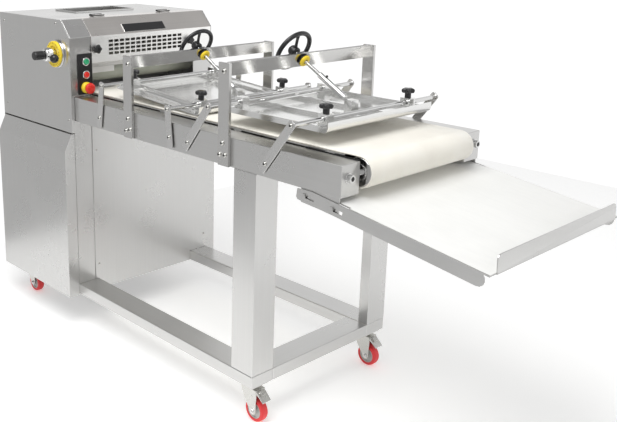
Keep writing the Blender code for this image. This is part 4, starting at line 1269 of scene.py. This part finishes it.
def buildCaster(corner):
    fork = "caster_fork_" + corner
    pin, axle = jointAt("caster_swivel_" + corner), jointAt("caster_roll_" + corner)
    forward = math.copysign(1.0, axle.x - pin.x)
    zinc, bright = brushedSteel("plated", "Z"), brushedSteel("polished", "Y")
    form = bmesh.new()
    plateAt = (pin.x, pin.y, pin.z - 0.002)
    outline = roundedBox(*casterSpec["plate"])
    addPlate(form, outline, plateAt, (1, 0, 0), (0, 1, 0), (0, 0, 1), casterSpec["plateThick"])
    plate = makePiece(fork + "Plate", form, zinc, fork, 0.0006)
    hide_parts(fork)
    turnedPiece(fork + "Race", casterSpec["race"], pin, (0, 0, 1), 48, zinc, fork, slotOf(fork), soft=0.0012)
    crownZ = pin.z - casterSpec["crownDrop"]
    x, z = axle.x, axle.z
    rear, nose = pin.x - forward * 0.026, x + forward * 0.0140
    outline = [(rear, crownZ), (pin.x - forward * 0.024, crownZ - 0.012),
               (pin.x - forward * 0.010, crownZ - 0.040),
               (x - forward * 0.014, z + 0.002), (x - forward * 0.010, z - 0.010), (x, z - 0.0135),
               (x + forward * 0.010, z - 0.010), (x + forward * 0.0135, z), (x + forward * 0.0135, z + 0.016),
               (nose, crownZ - 0.016), (nose, crownZ)]
    cheeks = bmesh.new()
    for side in (-1, 1):
        origin = (0, pin.y + side * casterSpec["cheekY"], 0)
        addPlate(cheeks, outline, origin, (1, 0, 0), (0, 0, 1), (0, 1, 0), casterSpec["cheekThick"])
    addBlock(cheeks, (min(rear, nose), pin.y - 0.0194, crownZ - 0.0022),
             (max(rear, nose), pin.y + 0.0194, crownZ + 0.0010))
    makePiece(fork + "Cheeks", cheeks, zinc, fork, 0.0008)
    spots = [(Vector((x, pin.y + side * (casterSpec["cheekY"] + 0.0014), z)), Vector((0, side, 0)))
             for side in (-1, 1)]
    fastenerRow(fork + "AxleNuts", spots, "hexBolt", 0.0062, bright, fork, "polished_steel", 5)
    boltX, boltY = casterSpec["bolt"]
    bolts = [(Vector((pin.x + a * boltX, pin.y + b * boltY, pin.z - 0.0036)), Vector((0, 0, -1)))
             for a in (-1, 1) for b in (-1, 1)]
    fastenerRow(fork + "PlateBolts", bolts, "hexBolt", 0.0052, bright, fork, "polished_steel", 9)
    if "front" in corner:
        buildPedal(fork, axle, pin.y, forward, crownZ, zinc)
    buildWheel("caster_wheel_" + corner, axle)


for corner in casterSpec["corners"]:
    buildCaster(corner)
print("casters done")


# fasteners on the fixed sheet metal


postScrewSpots = {1: ((-0.173, 1.0344), (-0.177, 0.8553), (-0.187, 0.8148), (-0.165, 0.8208)),
                  2: ((0.2815, 1.0658), (0.277, 0.8584), (0.2655, 0.8234), (0.2885, 0.8244))}
screwSpec = {"pan": 0.0042, "button": 0.0068, "panelY": (-0.227, 0.299), "backSink": 0.0024,
             "backInset": 0.022, "backTop": 0.683, "backHigh": 0.660, "columnY": (-0.305, 0.305),
             "columnZ": (0.80, 0.96, 1.12)}


def fixedScrews():
    pan = screwSpec["pan"]
    low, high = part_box("head_side_near")
    front, rear, top, foot = high.x, low.x, high.z, low.z
    rows = ((front - 0.087, top - 0.013), (front - 0.020, top - 0.081), (front - 0.0185, foot + 0.046),
            (rear + 0.030, foot + 0.046), (rear + 0.030, top - 0.030))
    spots = []
    for side, y in ((-1, low.y), (1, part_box("head_side_far")[1].y)):
        spots += [(Vector((x, y, z)), Vector((0, side, 0))) for x, z in rows]
    screwPair("headScrews", spots, "panHead", pan, bodyOf("head_side_near"), "polished_steel", 11)
    low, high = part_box("cabinet_front_panel")
    near, far = screwSpec["panelY"]
    rows = ((near, high.z - 0.120), (near, low.z + 0.100), (far, low.z + 0.100), (far, high.z - 0.120))
    spots = [(Vector((high.x, y, z)), Vector((1, 0, 0))) for y, z in rows]
    screwPair("panelScrews", spots, "panHead", pan, bodyOf("cabinet_front_panel"), "polished_steel", 12)
    low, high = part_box("back_panel")
    inset = screwSpec["backInset"]
    heights = (low.z + 0.030, (low.z + screwSpec["backTop"]) / 2, screwSpec["backHigh"])
    places = [(y, z) for y in (low.y + inset, 0.0, high.y - inset) for z in heights]
    places += [(y, z) for y in screwSpec["columnY"] for z in screwSpec["columnZ"]]
    spots = [(Vector((low.x + screwSpec["backSink"], y, z)), Vector((-1, 0, 0))) for y, z in places]
    screwPair("backScrews", spots, "panHead", pan, bodyOf("back_panel"), "polished_steel", 13)
    spots = []
    for number, rows in postScrewSpots.items():
        low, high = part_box(f"bridge_{number}")
        for x, z in rows:
            spots.append((Vector((x, low.y, z)), Vector((0, -1, 0))))
            spots.append((Vector((x, high.y, z)), Vector((0, 1, 0))))
    screwPair("postScrews", spots, "buttonHead", screwSpec["button"], bodyOf("bridge_1"), "polished_steel",
              14)


fixedScrews()
print("screws done")


# floor, light and camera

stageSpec = {"size": 4.4, "middle": (0.7, 0.9, 0.0), "tone": (0.93, 0.93, 0.925), "glow": 0.33, "rough": 0.9}


def buildStage():
    form = bmesh.new()
    bmesh.ops.create_grid(form, x_segments=2, y_segments=2, size=stageSpec["size"] / 2)
    bmesh.ops.translate(form, vec=stageSpec["middle"], verts=form.verts)
    mesh = bpy.data.meshes.new("floor")
    form.to_mesh(mesh)
    form.free()
    floor = newObject("floor", mesh)
    material, tree, shader, mapping = freshMaterial("paleFloor", 0.0)
    setInputs(shader, **{"Base Color": (*stageSpec["tone"], 1.0), "Roughness": stageSpec["rough"],
                         "Emission Color": (1.0, 1.0, 1.0, 1.0), "Emission Strength": stageSpec["glow"]})
    mesh.materials.append(material)


# a pale cyclorama: dimmer behind the operator's side and overhead
skySpec = {"toward": (0.2, 1.0, 0.0), "dim": 0.60, "full": 1.05, "from": -0.35, "to": 0.35,
           "fadeFrom": 0.30, "fadeTo": 0.80, "overhead": 0.42}


def buildSky():
    world = bpy.data.worlds.new("studio")
    bpy.context.scene.world = world
    world.use_nodes = True
    tree = world.node_tree
    back = tree.nodes["Background"]
    texture = addNode(tree, "ShaderNodeTexCoord")
    split = addNode(tree, "ShaderNodeSeparateXYZ")
    tree.links.new(texture.outputs["Generated"], split.inputs["Vector"])
    facing = addNode(tree, "ShaderNodeVectorMath", operation="DOT_PRODUCT")
    facing.inputs[1].default_value = skySpec["toward"]
    tree.links.new(texture.outputs["Generated"], facing.inputs[0])
    sweep = rangeOn(tree, facing.outputs["Value"], skySpec["dim"], skySpec["full"], skySpec["from"],
                    skySpec["to"])
    fade = rangeOn(tree, split.outputs["Z"], 1.0, skySpec["overhead"], skySpec["fadeFrom"], skySpec["fadeTo"])
    for step in (sweep, fade):
        step.interpolation_type = "SMOOTHSTEP"
    strength = addNode(tree, "ShaderNodeMath", operation="MULTIPLY")
    tree.links.new(sweep.outputs["Result"], strength.inputs[0])
    tree.links.new(fade.outputs["Result"], strength.inputs[1])
    tree.links.new(strength.outputs["Value"], back.inputs["Strength"])
    back.inputs["Color"].default_value = (1.0, 1.0, 1.0, 1.0)


lampSpec = {"place": (0.5, -1.5, 3.5), "aim": (0.0, 0.0, 0.7), "size": 2.3, "power": 90.0}


def buildLamp():
    lamp = bpy.data.lights.new("overhead", "AREA")
    lamp.size = lampSpec["size"]
    lamp.energy = lampSpec["power"]
    lampObject = bpy.data.objects.new("overhead", lamp)
    bpy.context.scene.collection.objects.link(lampObject)
    place = Vector(lampSpec["place"])
    lampObject.location = place
    lampObject.rotation_euler = (Vector(lampSpec["aim"]) - place).to_track_quat("-Z", "Y").to_euler()


cameraSpec = {"place": (2.004, -1.922, 1.428), "azimuth": 49.18, "elevation": -14.10, "roll": 0.187,
              "lens": 49.35, "shiftX": 0.184, "shiftY": -0.099}


def buildCamera():
    camera = bpy.data.cameras.new("camera")
    camera.lens = cameraSpec["lens"]
    camera.sensor_width = 36.0
    camera.shift_x = cameraSpec["shiftX"]
    camera.shift_y = cameraSpec["shiftY"]
    camera.clip_end = 200.0
    holder = bpy.data.objects.new("camera", camera)
    bpy.context.scene.collection.objects.link(holder)
    az, el = math.radians(cameraSpec["azimuth"]), math.radians(cameraSpec["elevation"])
    ahead = Vector((-math.sin(az) * math.cos(el), math.cos(az) * math.cos(el), math.sin(el)))
    right = ahead.cross(Vector((0, 0, 1))).normalized()
    up = right.cross(ahead)
    roll = math.radians(cameraSpec["roll"])
    rightRolled = right * math.cos(roll) + up * math.sin(roll)
    upRolled = up * math.cos(roll) - right * math.sin(roll)
    turn = Matrix((rightRolled, upRolled, -ahead)).transposed().to_4x4()
    holder.matrix_world = Matrix.Translation(Vector(cameraSpec["place"])) @ turn
    bpy.context.scene.camera = holder


buildStage()
buildSky()
buildLamp()
buildCamera()
bpy.context.scene.view_settings.view_transform = "Standard"
for head in heads.values():
    bpy.data.objects.remove(head, do_unlink=True)
print("stage done")
